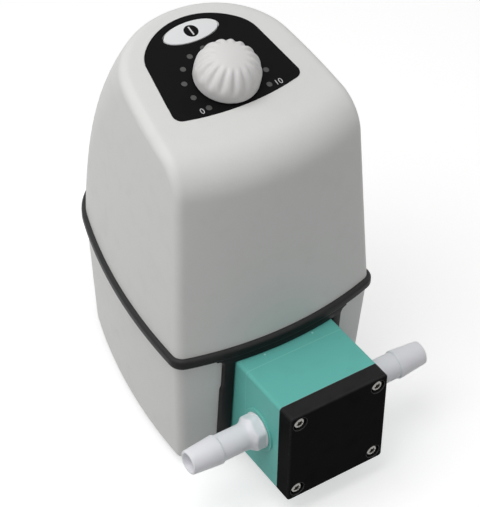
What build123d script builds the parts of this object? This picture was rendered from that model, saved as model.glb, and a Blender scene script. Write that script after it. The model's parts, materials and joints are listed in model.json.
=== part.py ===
from build123d import *
from math import cos, radians, sin, sqrt, tan
import os

os.makedirs("parts", exist_ok=True)

# Bench-top liquid transfer pump: a two-part casing with a black seal, a diaphragm
# pump head at the front and a control panel on the sloping roof.
# Millimetres. While it is modelled, y is 0 at the front face of the head plate and
# grows to the rear, z is 0 on the table, and x is 0 in the middle plane.

# Casing, in plan at the seam
SEAM_Z = 65.0
SEAM_HALF_WIDTH = 47.9
SEAM_CORNER_Y = 46.2
SEAM_REAR_Y = 166.9
FRONT_BOW = 7.4
SIDE_R = 275.0
WIDEST_Y = 54.3
REAR_FLAT = 0.6
WALL = 3.0

# Casing, how its walls lean away from the seam, in degrees, and how far the upper rear
# wall curves forward on its way to the crown
UPPER_SIDE_DRAFT = 3.0
UPPER_FRONT_LEAN = 4.3
UPPER_REAR_LEAN = 1.0
REAR_CURVE = 43.5
LOWER_SIDE_DRAFT = 2.85
LOWER_FRONT_LEAN = 3.2
LOWER_REAR_LEAN = 3.2
UPPER_SECTIONS = 5

# Casing, roof and rounded edges
ROOF_SLOPE = 15.0
DIAL_Y = 85.2
DIAL_Z = 165.0
CROWN_RISE = 14.0
SHOULDER_R = 18.6
CORNER_R = 4.6
BASE_EDGE_R = 1.5

# Seal between the casing halves, and its frame round the pump head
BEAD_H = 5.2
BEAD_PROUD = 1.8
BEAD_ROUND = 1.7
SEAL_SEAT = 1.0
WEB_H = 2.0
FRAME_SIDE = 5.2
FRAME_LOW = 5.0
FRAME_FLARE = 4.0
FRAME_FLARE_R = 3.0
FRAME_CORNER_R = 5.0
WINDOW_GAP = 0.2

# Feet
FOOT_R = 8.0
FOOT_H = 5.0
FOOT_SUNK = 1.0
FOOT_STEM_R = 2.5
FOOT_BUTTON_R = 3.4
FOOT_BUTTON_H = 2.0
FOOT_FRONT_X = 33.0
FOOT_FRONT_Y = 63.0
FOOT_REAR_X = 15.0
FOOT_REAR_Y = 146.0

# Posts and screws that hold the casing halves together
POST_R = 5.0
POST_FRONT_X = 36.5
POST_FRONT_Y = 84.0
POST_REAR_X = 29.0
POST_REAR_Y = 128.0
POST_TOP_Z = 92.0
SCREW_SEAT_Z = 50.0
CASE_SCREW_R = 2.0
CASE_SCREW_GRIP = 18.0
CASE_HEAD_R = 3.6
CASE_HEAD_H = 2.6
RIB_T = 2.0

# Pump head
HEAD_Z = 36.0
HEAD_SIDE = 48.0
PLATE_T = 8.0
BLOCK_T = 24.0
HEAD_EDGE_R = 1.6
PLATE_EDGE_R = 0.8
HEAD_SCREW_PITCH = 38.4
HEAD_SCREW_R = 1.5
HEAD_SCREW_HEAD_R = 2.85
HEAD_SCREW_HEAD_H = 3.0
HEAD_SCREW_BITE = 10.0
HEAD_SCREW_SUNK = 0.4
HEX_KEY = 2.5
HEX_DEPTH = 1.8
SCREW_GAP = 0.2
THREAD_GAP = 0.02

# Valves, side by side between the port block and the valve plate
VALVE_X = 9.5
VALVE_R = 5.2
VALVE_T = 1.0
VALVE_LIFT = 0.8
VALVE_SIDE_GAP = 1.1
VALVE_STOP_GAP = 0.2
INLET_HOLE_R = 2.6
OUTLET_HOLE_R = 2.6
SLOT_HOLE_R = 1.1
SLOT_RING_R = 3.6
SLOT_COUNT = 4
VALVE_PLATE_R = 20.3
VALVE_PLATE_T = 8.0
CHAMBER_R = 15.5
CHAMBER_DEPTH = 4.0

# Hose nozzles
NOZZLE_Y = 21.6
NOZZLE_TIP_X = 58.6
NOZZLE_BORE_R = 4.2
THREAD_R = 6.5
THREAD_DEPTH = 11.0
BOSS_R = 9.6
BOSS_PROUD = 0.6
COLLAR_R = 8.0
COLLAR_T = 0.7
NUT_AF = 14.3
NUT_T = 7.4
NECK_L = 3.8
SHANK_R = 5.8
BARB_LENGTH = 14.2
BARB_R = 6.4
BARB_EDGE = 0.5
TIP_R = 5.25
RING_SECTION_R = 0.7

# Diaphragm
RIM_T = 2.5
FOLD_R = 13.0
FOLD_T = 1.0
HUB_R = 9.0
HUB_T = 4.0
HUB_BACK = 0.8
STUD_R = 2.5
STUD_FLANGE_R = 5.0
STUD_FLANGE_T = 1.2
STUD_BITE = 8.0
SUPPORT_R = 10.0
SUPPORT_T = 2.0

# Crank drive: the shaft stands upright behind the head
CRANK_Y = 74.0
THROW = 1.6
SHAFT_R = 4.0
SHAFT_END_Z = 29.0
JOURNAL_R = 7.5
JOURNAL_H = 7.0
ROD_BEARING_R = 12.0
BIG_END_WALL = 3.5
ROD_W = 9.0
ROD_BOSS_R = 6.0
ROD_BOSS_L = 9.0
CRANK_BORE_R = 19.4
CRANK_FLOOR = 8.0
STROKE_BORE_R = 14.5
HUB_FLANGE_H = 4.0
WEIGHT_R = 16.0
WEIGHT_H = 8.0
RUNNING_GAP = 0.03
AXIAL_GAP = 0.4

# Motor on top of the crankcase
MOTOR_R = 23.0
CAN_WALL = 2.0
CAN_H = 54.0
END_PLATE_T = 10.0
SPIGOT_H = 2.0
SPIGOT_GAP = 0.1
BEARING_R = 11.0
BEARING_H = 7.0
TOP_BOSS_R = 13.5
TOP_BOSS_H = 9.5
MAGNET_T = 5.0
MAGNET_H = 34.0
MAGNET_ARC = 130.0
AIR_GAP = 0.7
ARMATURE_H = 30.0
ARMATURE_Z = 14.0
SLOT_TOTAL = 8
SLOT_W = 3.0
SLOT_DEPTH = 7.0
WINDING_OVERHANG = 3.0
COMMUTATOR_R = 7.0
COMMUTATOR_H = 7.0
BRUSH_W = 4.0
BRUSH_L = 8.0
HOLDER_T = 2.0

# Fixings of the crankcase and of the motor
LUG_SCREW_R = 2.0
LUG_SCREW_BITE = 6.0
LUG_HEAD_R = 3.6
LUG_HEAD_H = 2.2
LUG_X = 17.0
LUG_FRONT_Y = 52.0
LUG_REAR_X = 12.0
LUG_REAR_Y = 90.0
LUG_POST_R = 6.0

# Control panel, in the plane of the roof: x across, v up the slope from the dial
PANEL_T = 0.6
PANEL_PROUD = 0.2
PANEL_FRONT_V = -14.3
PANEL_FRONT_R = 120.0
PANEL_HALF = 29.8
PANEL_SIDE_SLOPE = 7.9
PANEL_TOP_V = 34.6
PANEL_TOP_R = 30.5
PANEL_CORNER_R = 3.8
PANEL_SHOULDER_R = 15.0
PANEL_GAP = 0.1
DOT_RING_R = 17.2
DOT_R = 1.25
DOT_COUNT = 11
DOT_STEP = 25.0
DOT_START = 215.0
DOT_GAP = 0.05
PIPE_FLANGE_R = 1.9
PIPE_FLANGE_T = 0.8
LED_W = 2.0
LED_H = 0.8

# Flow knob and the control behind it
KNOB_R = 13.5
KNOB_H = 14.0
KNOB_WAIST_R = 12.3
KNOB_WAIST_H = 8.6
KNOB_TOP_R = 9.2
KNOB_DOME_H = 1.7
KNOB_LIFT = 0.5
KNOB_SKIRT_H = 3.2
KNOB_FLUTES = 16
FLUTE_R = 1.7
FLUTE_LEAN = 27.3
FLUTE_GAP = 0.5
KNOB_HOLLOW_R = 7.4
KNOB_HOLLOW_H = 5.0
SPINDLE_R = 3.0
SPINDLE_TOP = 13.5
SPINDLE_FLAT = 0.7
BUSHING_R = 3.5
BUSHING_TOP = 4.0
BUSHING_GAP = 0.1
POT_R = 8.2
POT_NUT_AF = 10.0
POT_NUT_T = 2.2
SPINDLE_GAP = 0.05

# Power button
BUTTON_V = 26.6
BUTTON_A = 12.7
BUTTON_B = 5.05
BUTTON_GAP = 0.3
BUTTON_PROUD = 1.0
BUTTON_TRAVEL = 0.8
BUTTON_FLANGE = 1.5
BUTTON_FLANGE_T = 1.2
BUTTON_STEM_R = 1.8
SWITCH_W = 6.2
SWITCH_H = 3.5
PLUNGER_R = 1.7
PLUNGER_L = 2.6
PLUNGER_GAP = 0.1

# Control board under the roof
CONTROL_BOARD_DEPTH = 12.0
BOARD_T = 1.6
BOARD_HALF = 25.0
BOARD_FRONT_V = -17.0
BOARD_ROUND_V = 8.0
BOARD_POST_R = 2.6
BOARD_POST_X = 21.5
BOARD_POST_FRONT_V = -12.5
BOARD_POST_REAR_X = 18.0
BOARD_POST_REAR_V = 20.0
BOARD_SCREW_R = 1.0
BOARD_SCREW_HEAD_R = 1.9
BOARD_SCREW_HEAD_H = 1.3
BOARD_SCREW_BITE = 5.0

# Power board, upright behind the motor
POWER_Y = 105.0
POWER_HALF = 27.0
POWER_TOP_Z = 112.0
POWER_SUNK = 3.0
GUIDE_W = 8.0
GUIDE_D = 8.0
GUIDE_H = 7.0
GUIDE_X = 19.0
GUIDE_GAP = 0.1
TRANSFORMER_W = 34.0
TRANSFORMER_D = 27.0
TRANSFORMER_H = 30.0
TRANSFORMER_Z = 18.0
COIL_W = 19.0
COIL_H = 20.0
COIL_EDGE_R = 5.0
STACK_D = 15.0
CAPACITOR_R = 6.5
CAPACITOR_L = 22.0
CAPACITOR_COUNT = 3
CAPACITOR_Z = 62.0
SINK_W = 40.0
SINK_H = 24.0
SINK_Z = 78.0
SINK_BACK_T = 2.5
SINK_FIN_T = 1.6
SINK_FIN_D = 14.0
SINK_FINS = 6
TERMINAL_W = 22.0
TERMINAL_D = 10.0
TERMINAL_H = 12.0
TERMINAL_Y = 146.0
TERMINAL_WAYS = 3
TERMINAL_SCREW_R = 1.8

# Cable gland in the rear wall
GLAND_Z = 28.0
GLAND_PAD_R = 14.0
GLAND_PAD_PROUD = 0.8
GLAND_PAD_T = 9.0
GLAND_THREAD_R = 8.0
GLAND_AF = 21.0
GLAND_FLANGE_T = 5.0
GLAND_WASHER_T = 1.2
GLAND_WASHER_R = 10.4
GLAND_INNER_R = 5.6
GLAND_NECK_R = 8.0
GLAND_NECK_L = 8.0
GLAND_SEAL_R = 3.6
GLAND_SEAL_L = 9.0
DOME_R = 10.3
DOME_L = 13.0
DOME_HEX_L = 6.0
DOME_EDGE_R = 4.6
DOME_MOUTH_R = 4.6
DOME_LIP = 2.0
LOCKNUT_AF = 21.0
LOCKNUT_T = 4.0

# Worked out from the sizes above
BASE_Z = FOOT_H - FOOT_SUNK
FLOOR_Z = BASE_Z + WALL
CROWN_Z = DIAL_Z + CROWN_RISE
BLOCK_Y = PLATE_T
SEAT_Y = PLATE_T + BLOCK_T
RIM_Y = SEAT_Y + VALVE_PLATE_T
POCKET_Y = RIM_Y + RIM_T
CASE_TOP_Z = HEAD_Z + HEAD_SIDE / 2
CASE_LOW_Z = HEAD_Z - HEAD_SIDE / 2
HUB_BACK_Y = POCKET_Y + HUB_BACK
HUB_FRONT_Y = HUB_BACK_Y - HUB_T
ROD_END_Y = HUB_BACK_Y + SUPPORT_T
PIN_Y = CRANK_Y + THROW
CAN_Z = CASE_TOP_Z + END_PLATE_T
CAN_TOP_Z = CAN_Z + CAN_H
BOARD_TOP = -CONTROL_BOARD_DEPTH
PAD_Y = SEAM_REAR_Y + GLAND_PAD_PROUD
GLAND_FACE_Y = PAD_Y + GLAND_WASHER_T + GLAND_FLANGE_T
MIDDLE_Y = (GLAND_FACE_Y + DOME_L) / 2
ROOF = Plane(
    origin=(0, DIAL_Y, DIAL_Z),
    x_dir=(1, 0, 0),
    z_dir=(0, -sin(radians(ROOF_SLOPE)), cos(radians(ROOF_SLOPE))),
)
BIG = 400.0


def crossing(centre_a, radius_a, centre_b, radius_b):
    """The crossing point of two circles that lies nearer the front."""
    step_x = centre_b[0] - centre_a[0]
    step_y = centre_b[1] - centre_a[1]
    apart = sqrt(step_x**2 + step_y**2)
    along = (radius_a**2 - radius_b**2 + apart**2) / (2 * apart)
    across = sqrt(radius_a**2 - along**2)
    foot_x = centre_a[0] + along * step_x / apart
    foot_y = centre_a[1] + along * step_y / apart
    first = (foot_x + across * step_y / apart, foot_y - across * step_x / apart)
    second = (foot_x - across * step_y / apart, foot_y + across * step_x / apart)
    return min(first, second, key=lambda point: point[1])


def arc_middle(centre, radius, start, end):
    """The point of a circle that lies between two of its points."""
    x = (start[0] + end[0]) / 2 - centre[0]
    y = (start[1] + end[1]) / 2 - centre[1]
    stretch = radius / sqrt(x**2 + y**2)
    return (centre[0] + x * stretch, centre[1] + y * stretch)


def casing_outline(height, inset=0.0):
    """Plan face of the casing at a height, moved inwards by inset."""
    rise = abs(height - SEAM_Z)
    if height > SEAM_Z:
        leans = (UPPER_SIDE_DRAFT, UPPER_FRONT_LEAN, UPPER_REAR_LEAN)
        curve = REAR_CURVE * (rise / (CROWN_Z - SEAM_Z)) ** 2
    else:
        leans = (LOWER_SIDE_DRAFT, LOWER_FRONT_LEAN, LOWER_REAR_LEAN)
        curve = 0
    side, front, back = [rise * tan(radians(lean)) for lean in leans]
    corner_x = SEAM_HALF_WIDTH - side
    corner_y = SEAM_CORNER_Y + front
    rear_y = SEAM_REAR_Y - back - curve
    # The front is one arc. The flanks and the rear are one curve through the points of
    # two flat arcs and two tangent rear arcs.
    front_r = (corner_x**2 + FRONT_BOW**2) / (2 * FRONT_BOW)
    front_centre = (0, corner_y - FRONT_BOW + front_r)
    side_centre = (corner_x - sqrt(SIDE_R**2 - (WIDEST_Y - corner_y) ** 2), WIDEST_Y)
    reach_x = REAR_FLAT - side_centre[0]
    reach_y = rear_y - WIDEST_Y
    rear_r = (SIDE_R**2 - reach_x**2 - reach_y**2) / (2 * (SIDE_R - reach_y))
    rear_centre = (REAR_FLAT, rear_y - rear_r)
    corner = crossing(front_centre, front_r - inset, side_centre, SIDE_R - inset)
    pull = (SIDE_R - inset) / (SIDE_R - rear_r)
    meet = (
        side_centre[0] + (rear_centre[0] - side_centre[0]) * pull,
        side_centre[1] + (rear_centre[1] - side_centre[1]) * pull,
    )
    end = (REAR_FLAT, rear_y - inset)
    flank = arc_middle(side_centre, SIDE_R - inset, corner, meet)
    turn = arc_middle(rear_centre, rear_r - inset, meet, end)

    def left(point):
        return (-point[0], point[1])

    rear = (0, rear_y - inset)
    heading = (side_centre[1] - corner[1], corner[0] - side_centre[0])
    points = [corner, flank, meet, turn, rear, left(turn), left(meet), left(flank), left(corner)]
    edges = [
        ThreePointArc(left(corner), (0, corner_y - FRONT_BOW + inset), corner),
        Spline(points, tangents=[heading, (heading[0], -heading[1])]),
    ]
    return Pos(0, 0, height) * make_face(edges)


def front_corners(form):
    """The two upright edges at the front of a casing form."""
    upright = form.edges().filter_by(lambda edge: edge.bounding_box().size.Z > WEB_H / 2)
    outer = upright.filter_by(lambda edge: abs(edge.center().X) > SEAM_HALF_WIDTH / 2)
    return outer.sort_by(Axis.Y)[:2]


def upper_form(inset, low_z):
    """Outer or inner form of the upper casing, solid."""
    step = (CROWN_Z - low_z) / (UPPER_SECTIONS - 1)
    form = loft([casing_outline(low_z + n * step, inset) for n in range(UPPER_SECTIONS)])
    below_roof = Box(BIG, BIG, BIG, align=(Align.CENTER, Align.CENTER, Align.MAX))
    form = form & (ROOF * Pos(0, 0, -inset) * below_roof)
    roof_face = form.faces().sort_by(Axis.Z)[-1]
    form = fillet(roof_face.edges().sort_by(Axis.Y)[0], SHOULDER_R - inset)
    return fillet(front_corners(form), CORNER_R - inset)


def lower_form(inset, low_z, high_z=SEAM_Z):
    """Outer or inner form of the lower casing, solid."""
    form = loft([casing_outline(low_z, inset), casing_outline(high_z, inset)], ruled=True)
    return fillet(front_corners(form), CORNER_R - inset)


def seam_prism(inset, height):
    """Straight prism with the seam's outline, centred on the seam."""
    prism = Pos(0, 0, -height / 2) * extrude(casing_outline(SEAM_Z, inset), height)
    return fillet(front_corners(prism), CORNER_R - inset)


def rod_y(radius, start_y, end_y):
    """Cylinder along y between two places."""
    length = end_y - start_y
    return Pos(0, (start_y + end_y) / 2, 0) * Rot(90, 0, 0) * Cylinder(radius, length)


def rod_z(radius, low, high):
    """Cylinder along z between two heights."""
    return Pos(0, 0, (low + high) / 2) * Cylinder(radius, high - low)


def tube_z(outer, inner, low, high):
    """Ring or tube along z between two heights."""
    return rod_z(outer, low, high) - rod_z(inner, low, high)


def hexagon_z(across_flats, low, high):
    """Hexagonal prism along z between two heights."""
    flat = RegularPolygon(across_flats / 2, 6, major_radius=False)
    return Pos(0, 0, low) * extrude(flat, high - low)


def corner_places(front_x, front_y, rear_x, rear_y):
    """Four places, two at the front and two at the rear."""
    return [(-front_x, front_y), (front_x, front_y), (-rear_x, rear_y), (rear_x, rear_y)]


POSTS = corner_places(POST_FRONT_X, POST_FRONT_Y, POST_REAR_X, POST_REAR_Y)
FEET = corner_places(FOOT_FRONT_X, FOOT_FRONT_Y, FOOT_REAR_X, FOOT_REAR_Y)
LUGS = corner_places(LUG_X, LUG_FRONT_Y, LUG_REAR_X, LUG_REAR_Y)
BOARD_POSTS = corner_places(BOARD_POST_X, BOARD_POST_FRONT_V, BOARD_POST_REAR_X, BOARD_POST_REAR_V)
HEAD_SCREWS = [
    (x * HEAD_SCREW_PITCH / 2, HEAD_Z + z * HEAD_SCREW_PITCH / 2) for x in (-1, 1) for z in (-1, 1)
]
DOT_TURNS = [radians(DOT_START - DOT_STEP * n) for n in range(DOT_COUNT)]
DOTS = [(DOT_RING_R * cos(turn), DOT_RING_R * sin(turn)) for turn in DOT_TURNS]


def seal_bead():
    """Black bead that stands proud all round the seam, with the web between the edges."""
    bead = seam_prism(-BEAD_PROUD, BEAD_H)
    rims = bead.faces().sort_by(Axis.Z)
    bead = fillet(rims[0].edges() + rims[-1].edges(), BEAD_ROUND)
    bead = bead - seam_prism(SEAL_SEAT, BEAD_H)
    web = seam_prism(SEAL_SEAT, WEB_H) - seam_prism(WALL, WEB_H)
    return bead + web


def frame_profile(grow=0.0):
    """Front view of the seal's frame round the head, flared where it meets the bead."""
    low = CASE_LOW_Z - FRAME_LOW
    half = HEAD_SIDE / 2 + FRAME_SIDE
    top = SEAM_Z - WEB_H / 2
    plate = Pos(0, (low + top) / 2) * Rectangle(2 * half, top - low)
    bar_h = (BEAD_H - WEB_H) / 2
    bar = Pos(0, top - bar_h / 2) * Rectangle(2 * (half + FRAME_FLARE), bar_h)
    shape = plate + bar
    inner = [v for v in shape.vertices() if abs(abs(v.X) - half) < 0.01 and v.Y > HEAD_Z]
    shape = fillet(inner, FRAME_FLARE_R)
    outer = [v for v in shape.vertices() if v.Y < low + 0.01]
    shape = fillet(outer, FRAME_CORNER_R)
    return shape


def seal_frame():
    """Frame that follows the lower casing's front round the pump head."""
    skin = lower_form(-BEAD_PROUD, BASE_Z, SEAM_Z) - lower_form(SEAL_SEAT, BASE_Z, SEAM_Z)
    profile = Plane.XZ * frame_profile()
    return skin & extrude(profile, -CRANK_Y)


def head_window(gap):
    """Square prism through the casing's front where the crankcase comes out."""
    side = HEAD_SIDE + 2 * gap
    return Pos(0, CRANK_Y / 2, HEAD_Z) * Box(side, CRANK_Y, side)


def parting_seal():
    return seal_bead() + seal_frame() - head_window(WINDOW_GAP)


def seal_seat():
    """Room that the seal takes from both casing halves."""
    return seal_bead() + seal_frame()


def casing_posts(low, high, radius):
    return Part() + [Pos(x, y, 0) * rod_z(radius, low, high) for x, y in POSTS]


def post_ribs(low, high):
    """Ribs from the posts outwards, later trimmed to the casing's form."""
    ribs = Part()
    for x, y in POSTS:
        side = 1 if x > 0 else -1
        reach = SEAM_HALF_WIDTH - abs(x)
        ribs += Pos(x + side * reach / 2, y, (low + high) / 2) * Box(reach, RIB_T, high - low)
    return ribs


def panel_outline(gap=0.0):
    """Outline of the black panel: a flat arch with a gently curved front edge."""
    half = PANEL_HALF + gap
    front_v = PANEL_FRONT_V - gap
    top_r = PANEL_TOP_R + gap
    top_centre = PANEL_TOP_V - PANEL_TOP_R
    corner_v = front_v + half**2 / (2 * PANEL_FRONT_R)
    lean = tan(radians(PANEL_SIDE_SLOPE))
    # Where the leaning side meets the top arc
    a = 1 + lean**2
    b = -2 * half * lean - 2 * (top_centre - corner_v)
    c = half**2 + (top_centre - corner_v) ** 2 - top_r**2
    climb = (-b + sqrt(b**2 - 4 * a * c)) / (2 * a)
    shoulder = (half - climb * lean, corner_v + climb)
    edges = [
        ThreePointArc((-half, corner_v), (0, front_v), (half, corner_v)),
        Line((half, corner_v), shoulder),
        ThreePointArc(shoulder, (0, PANEL_TOP_V + gap), (-shoulder[0], shoulder[1])),
        Line((-shoulder[0], shoulder[1]), (-half, corner_v)),
    ]
    face = make_face(edges)
    low = [v for v in face.vertices() if v.Y < 0]
    face = fillet(low, PANEL_CORNER_R)
    high = [v for v in face.vertices() if abs(v.Y - shoulder[1]) < 0.01]
    return fillet(high, PANEL_SHOULDER_R)


def ellipse_z(half_x, half_v, low, high):
    """Elliptical prism at the button's place, in the roof's plane."""
    return Pos(0, BUTTON_V, low) * extrude(Ellipse(half_x, half_v), high - low)


def dot_cylinders(radius, low, high):
    return Part() + [Pos(x, v, 0) * rod_z(radius, low, high) for x, v in DOTS]


def upper_housing():
    """Upper casing: drafted walls, sloping roof with the panel's recess, posts inside."""
    outer = upper_form(0.0, SEAM_Z)
    shell = outer - upper_form(WALL, SEAM_Z)
    posts = casing_posts(SEAM_Z, POST_TOP_Z, POST_R) + post_ribs(SEAM_Z + WEB_H, POST_TOP_Z)
    posts = posts & upper_form(WALL / 2, SEAM_Z)
    board_posts = ROOF * (
        Part() + [Pos(x, v, 0) * rod_z(BOARD_POST_R, BOARD_TOP, -WALL / 2) for x, v in BOARD_POSTS]
    )
    shell = shell + posts + board_posts
    shell -= seal_seat()
    shell -= casing_posts(SEAM_Z, SEAM_Z + CASE_SCREW_GRIP + 1, CASE_SCREW_R + THREAD_GAP)
    recess = Pos(0, 0, PANEL_PROUD - PANEL_T) * extrude(panel_outline(PANEL_GAP), PANEL_T)
    button_hole = ellipse_z(BUTTON_A + BUTTON_GAP, BUTTON_B + BUTTON_GAP, -2 * WALL, WALL)
    dots = dot_cylinders(DOT_R + DOT_GAP, -2 * WALL, WALL)
    bushing_hole = rod_z(BUSHING_R + BUSHING_GAP, -2 * WALL, WALL)
    screw_low = BOARD_TOP
    screw_high = BOARD_TOP + BOARD_SCREW_BITE + 1
    pilots = Part() + [
        Pos(x, v, 0) * rod_z(BOARD_SCREW_R + THREAD_GAP, screw_low, screw_high) for x, v in BOARD_POSTS
    ]
    shell -= ROOF * (recess + button_hole + dots + bushing_hole + pilots)
    return shell


def gland_pad():
    """Flat round pad on the rear wall, where the cable gland is screwed in."""
    return Pos(0, 0, GLAND_Z) * rod_y(GLAND_PAD_R, locknut_face(), PAD_Y)


def board_guides():
    """Two slotted blocks on the floor that hold the power board's lower edge."""
    slot = Pos(0, POWER_Y + BOARD_T / 2, FLOOR_Z + GUIDE_H / 2 + WALL / 2)
    slot = slot * Box(BIG, BOARD_T + 2 * GUIDE_GAP, GUIDE_H)
    slot = Pos(0, 0, GUIDE_H - POWER_SUNK - WALL / 2) * slot
    blocks = Part()
    for x in (-GUIDE_X, GUIDE_X):
        centre = Pos(x, POWER_Y + BOARD_T / 2, (FLOOR_Z + GUIDE_H + BASE_Z) / 2)
        blocks += centre * Box(GUIDE_W, GUIDE_D, FLOOR_Z + GUIDE_H - BASE_Z)
    return blocks - slot


def lower_housing():
    """Lower casing: floor, posts, crankcase lugs, gland pad and the window for the head."""
    outer = lower_form(0.0, BASE_Z)
    outer = fillet(outer.faces().sort_by(Axis.Z)[0].edges(), BASE_EDGE_R)
    outer = outer + gland_pad()
    inner = lower_form(WALL, FLOOR_Z)
    shell = outer - inner
    posts = casing_posts(BASE_Z, SEAM_Z, POST_R) + post_ribs(BASE_Z, SEAM_Z - WEB_H)
    lugs = Part() + [Pos(x, y, 0) * rod_z(LUG_POST_R, BASE_Z, CASE_LOW_Z) for x, y in LUGS]
    shell += (posts + lugs) & lower_form(WALL / 2, BASE_Z)
    shell += board_guides()
    shell -= seal_seat()
    shell -= head_window(WINDOW_GAP)
    shell -= casing_posts(SCREW_SEAT_Z, SEAM_Z, CASE_SCREW_R + SCREW_GAP)
    shell -= casing_posts(0, SCREW_SEAT_Z, CASE_HEAD_R + SCREW_GAP)
    lug_head_z = BASE_Z + LUG_HEAD_H + SCREW_GAP
    for x, y in LUGS:
        shell -= Pos(x, y, 0) * rod_z(LUG_SCREW_R + SCREW_GAP, BASE_Z, CASE_LOW_Z)
        shell -= Pos(x, y, 0) * rod_z(LUG_HEAD_R + SCREW_GAP, 0, lug_head_z)
    for x, y in FEET:
        shell -= Pos(x, y, 0) * rod_z(FOOT_R + SCREW_GAP, 0, FOOT_H)
        shell -= Pos(x, y, 0) * rod_z(FOOT_STEM_R, BASE_Z, FLOOR_Z)
    shell -= Pos(0, 0, GLAND_Z) * rod_y(GLAND_THREAD_R + SCREW_GAP, locknut_face() - WALL, PAD_Y)
    return shell


def feet():
    """Rubber feet pushed into the floor from below."""
    base = rod_z(FOOT_R, 0, FOOT_H)
    base = fillet(base.edges().sort_by(Axis.Z)[0], FOOT_H / 4)
    foot = base + rod_z(FOOT_STEM_R, FOOT_H, FLOOR_Z)
    button = rod_z(FOOT_BUTTON_R, FLOOR_Z, FLOOR_Z + FOOT_BUTTON_H)
    foot += fillet(button.edges().sort_by(Axis.Z)[-1], FOOT_BUTTON_H / 3)
    return [Pos(x, y, 0) * foot for x, y in FEET]


def case_screws():
    """Long screws that come up through the lower posts into the upper ones."""
    top = SEAM_Z + CASE_SCREW_GRIP
    head = rod_z(CASE_HEAD_R, SCREW_SEAT_Z - CASE_HEAD_H, SCREW_SEAT_Z)
    head -= hexagon_z(HEX_KEY, SCREW_SEAT_Z - CASE_HEAD_H, SCREW_SEAT_Z - CASE_HEAD_H / 3)
    screw = head + rod_z(CASE_SCREW_R, SCREW_SEAT_Z, top)
    return [Pos(x, y, 0) * screw for x, y in POSTS]


def crankcase_screws():
    """Short screws from below through the floor into the crankcase."""
    seat = BASE_Z + LUG_HEAD_H + SCREW_GAP
    head = rod_z(LUG_HEAD_R, BASE_Z + SCREW_GAP, seat)
    head -= hexagon_z(HEX_KEY, BASE_Z, BASE_Z + LUG_HEAD_H * 2 / 3)
    screw = head + rod_z(LUG_SCREW_R, seat, CASE_LOW_Z + LUG_SCREW_BITE)
    return [Pos(x, y, 0) * screw for x, y in LUGS]


def at_head(shape, x=0.0, y=0.0):
    """Put a shape that was made about the head's axis at its place."""
    return Pos(x, y, HEAD_Z) * shape


def screw_holes(radius, start_y, end_y):
    return Part() + [Pos(x, 0, z) * rod_y(radius, start_y, end_y) for x, z in HEAD_SCREWS]


def head_slab(start_y, end_y, edge_r):
    """Square slab of the head with rounded long edges."""
    length = end_y - start_y
    slab = Pos(0, (start_y + end_y) / 2, HEAD_Z) * Box(HEAD_SIDE, length, HEAD_SIDE)
    return fillet(slab.edges().filter_by(Axis.Y), edge_r)


def head_plate():
    """Black cover plate with four sunk screw places."""
    plate = head_slab(0, PLATE_T, HEAD_EDGE_R)
    front = plate.faces().sort_by(Axis.Y)[0]
    plate = fillet(front.edges(), PLATE_EDGE_R)
    plate -= screw_holes(HEAD_SCREW_R + SCREW_GAP, 0, PLATE_T)
    plate -= screw_holes(HEAD_SCREW_HEAD_R + 2 * SCREW_GAP, -1, HEAD_SCREW_SUNK + HEAD_SCREW_HEAD_H)
    return plate


def head_screws():
    """Four long socket screws that clamp the head together."""
    seat = HEAD_SCREW_SUNK + HEAD_SCREW_HEAD_H
    head = rod_y(HEAD_SCREW_HEAD_R, HEAD_SCREW_SUNK, seat)
    head = fillet(head.edges().sort_by(Axis.Y)[0], HEAD_SCREW_HEAD_H / 4)
    head -= Pos(0, HEAD_SCREW_SUNK + HEX_DEPTH, 0) * Rot(90, 0, 0) * hexagon_z(HEX_KEY, 0, HEX_DEPTH + 1)
    screw = head + rod_y(HEAD_SCREW_R, seat, SEAT_Y + HEAD_SCREW_BITE)
    return [Pos(x, 0, z) * screw for x, z in HEAD_SCREWS]


def port_block():
    """Green block with the two ports, their galleries and the outlet valve's pocket."""
    block = head_slab(BLOCK_Y, SEAT_Y, HEAD_EDGE_R)
    half = HEAD_SIDE / 2
    side_face = half + BOSS_PROUD
    for side in (-1, 1):
        across = Pos(0, NOZZLE_Y, HEAD_Z) * Rot(0, side * 90, 0)
        block += across * rod_z(BOSS_R, half - 1, side_face)
        block -= across * rod_z(THREAD_R + THREAD_GAP, side_face - THREAD_DEPTH - 1, side_face)
        block -= across * rod_z(THREAD_R + 2 * RING_SECTION_R, side_face - 2 * RING_SECTION_R, side_face)
        block -= across * rod_z(NOZZLE_BORE_R, VALVE_X - NOZZLE_BORE_R, side_face - THREAD_DEPTH)
    block -= at_head(rod_y(INLET_HOLE_R, NOZZLE_Y, SEAT_Y), -VALVE_X)
    block -= at_head(rod_y(OUTLET_HOLE_R, NOZZLE_Y, SEAT_Y), VALVE_X)
    block -= at_head(rod_y(VALVE_R + VALVE_SIDE_GAP, SEAT_Y - valve_pocket_depth(), SEAT_Y), VALVE_X)
    block -= screw_holes(HEAD_SCREW_R + SCREW_GAP, BLOCK_Y, SEAT_Y)
    return block


def valve_pocket_depth():
    return VALVE_T + VALVE_LIFT + VALVE_STOP_GAP


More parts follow.
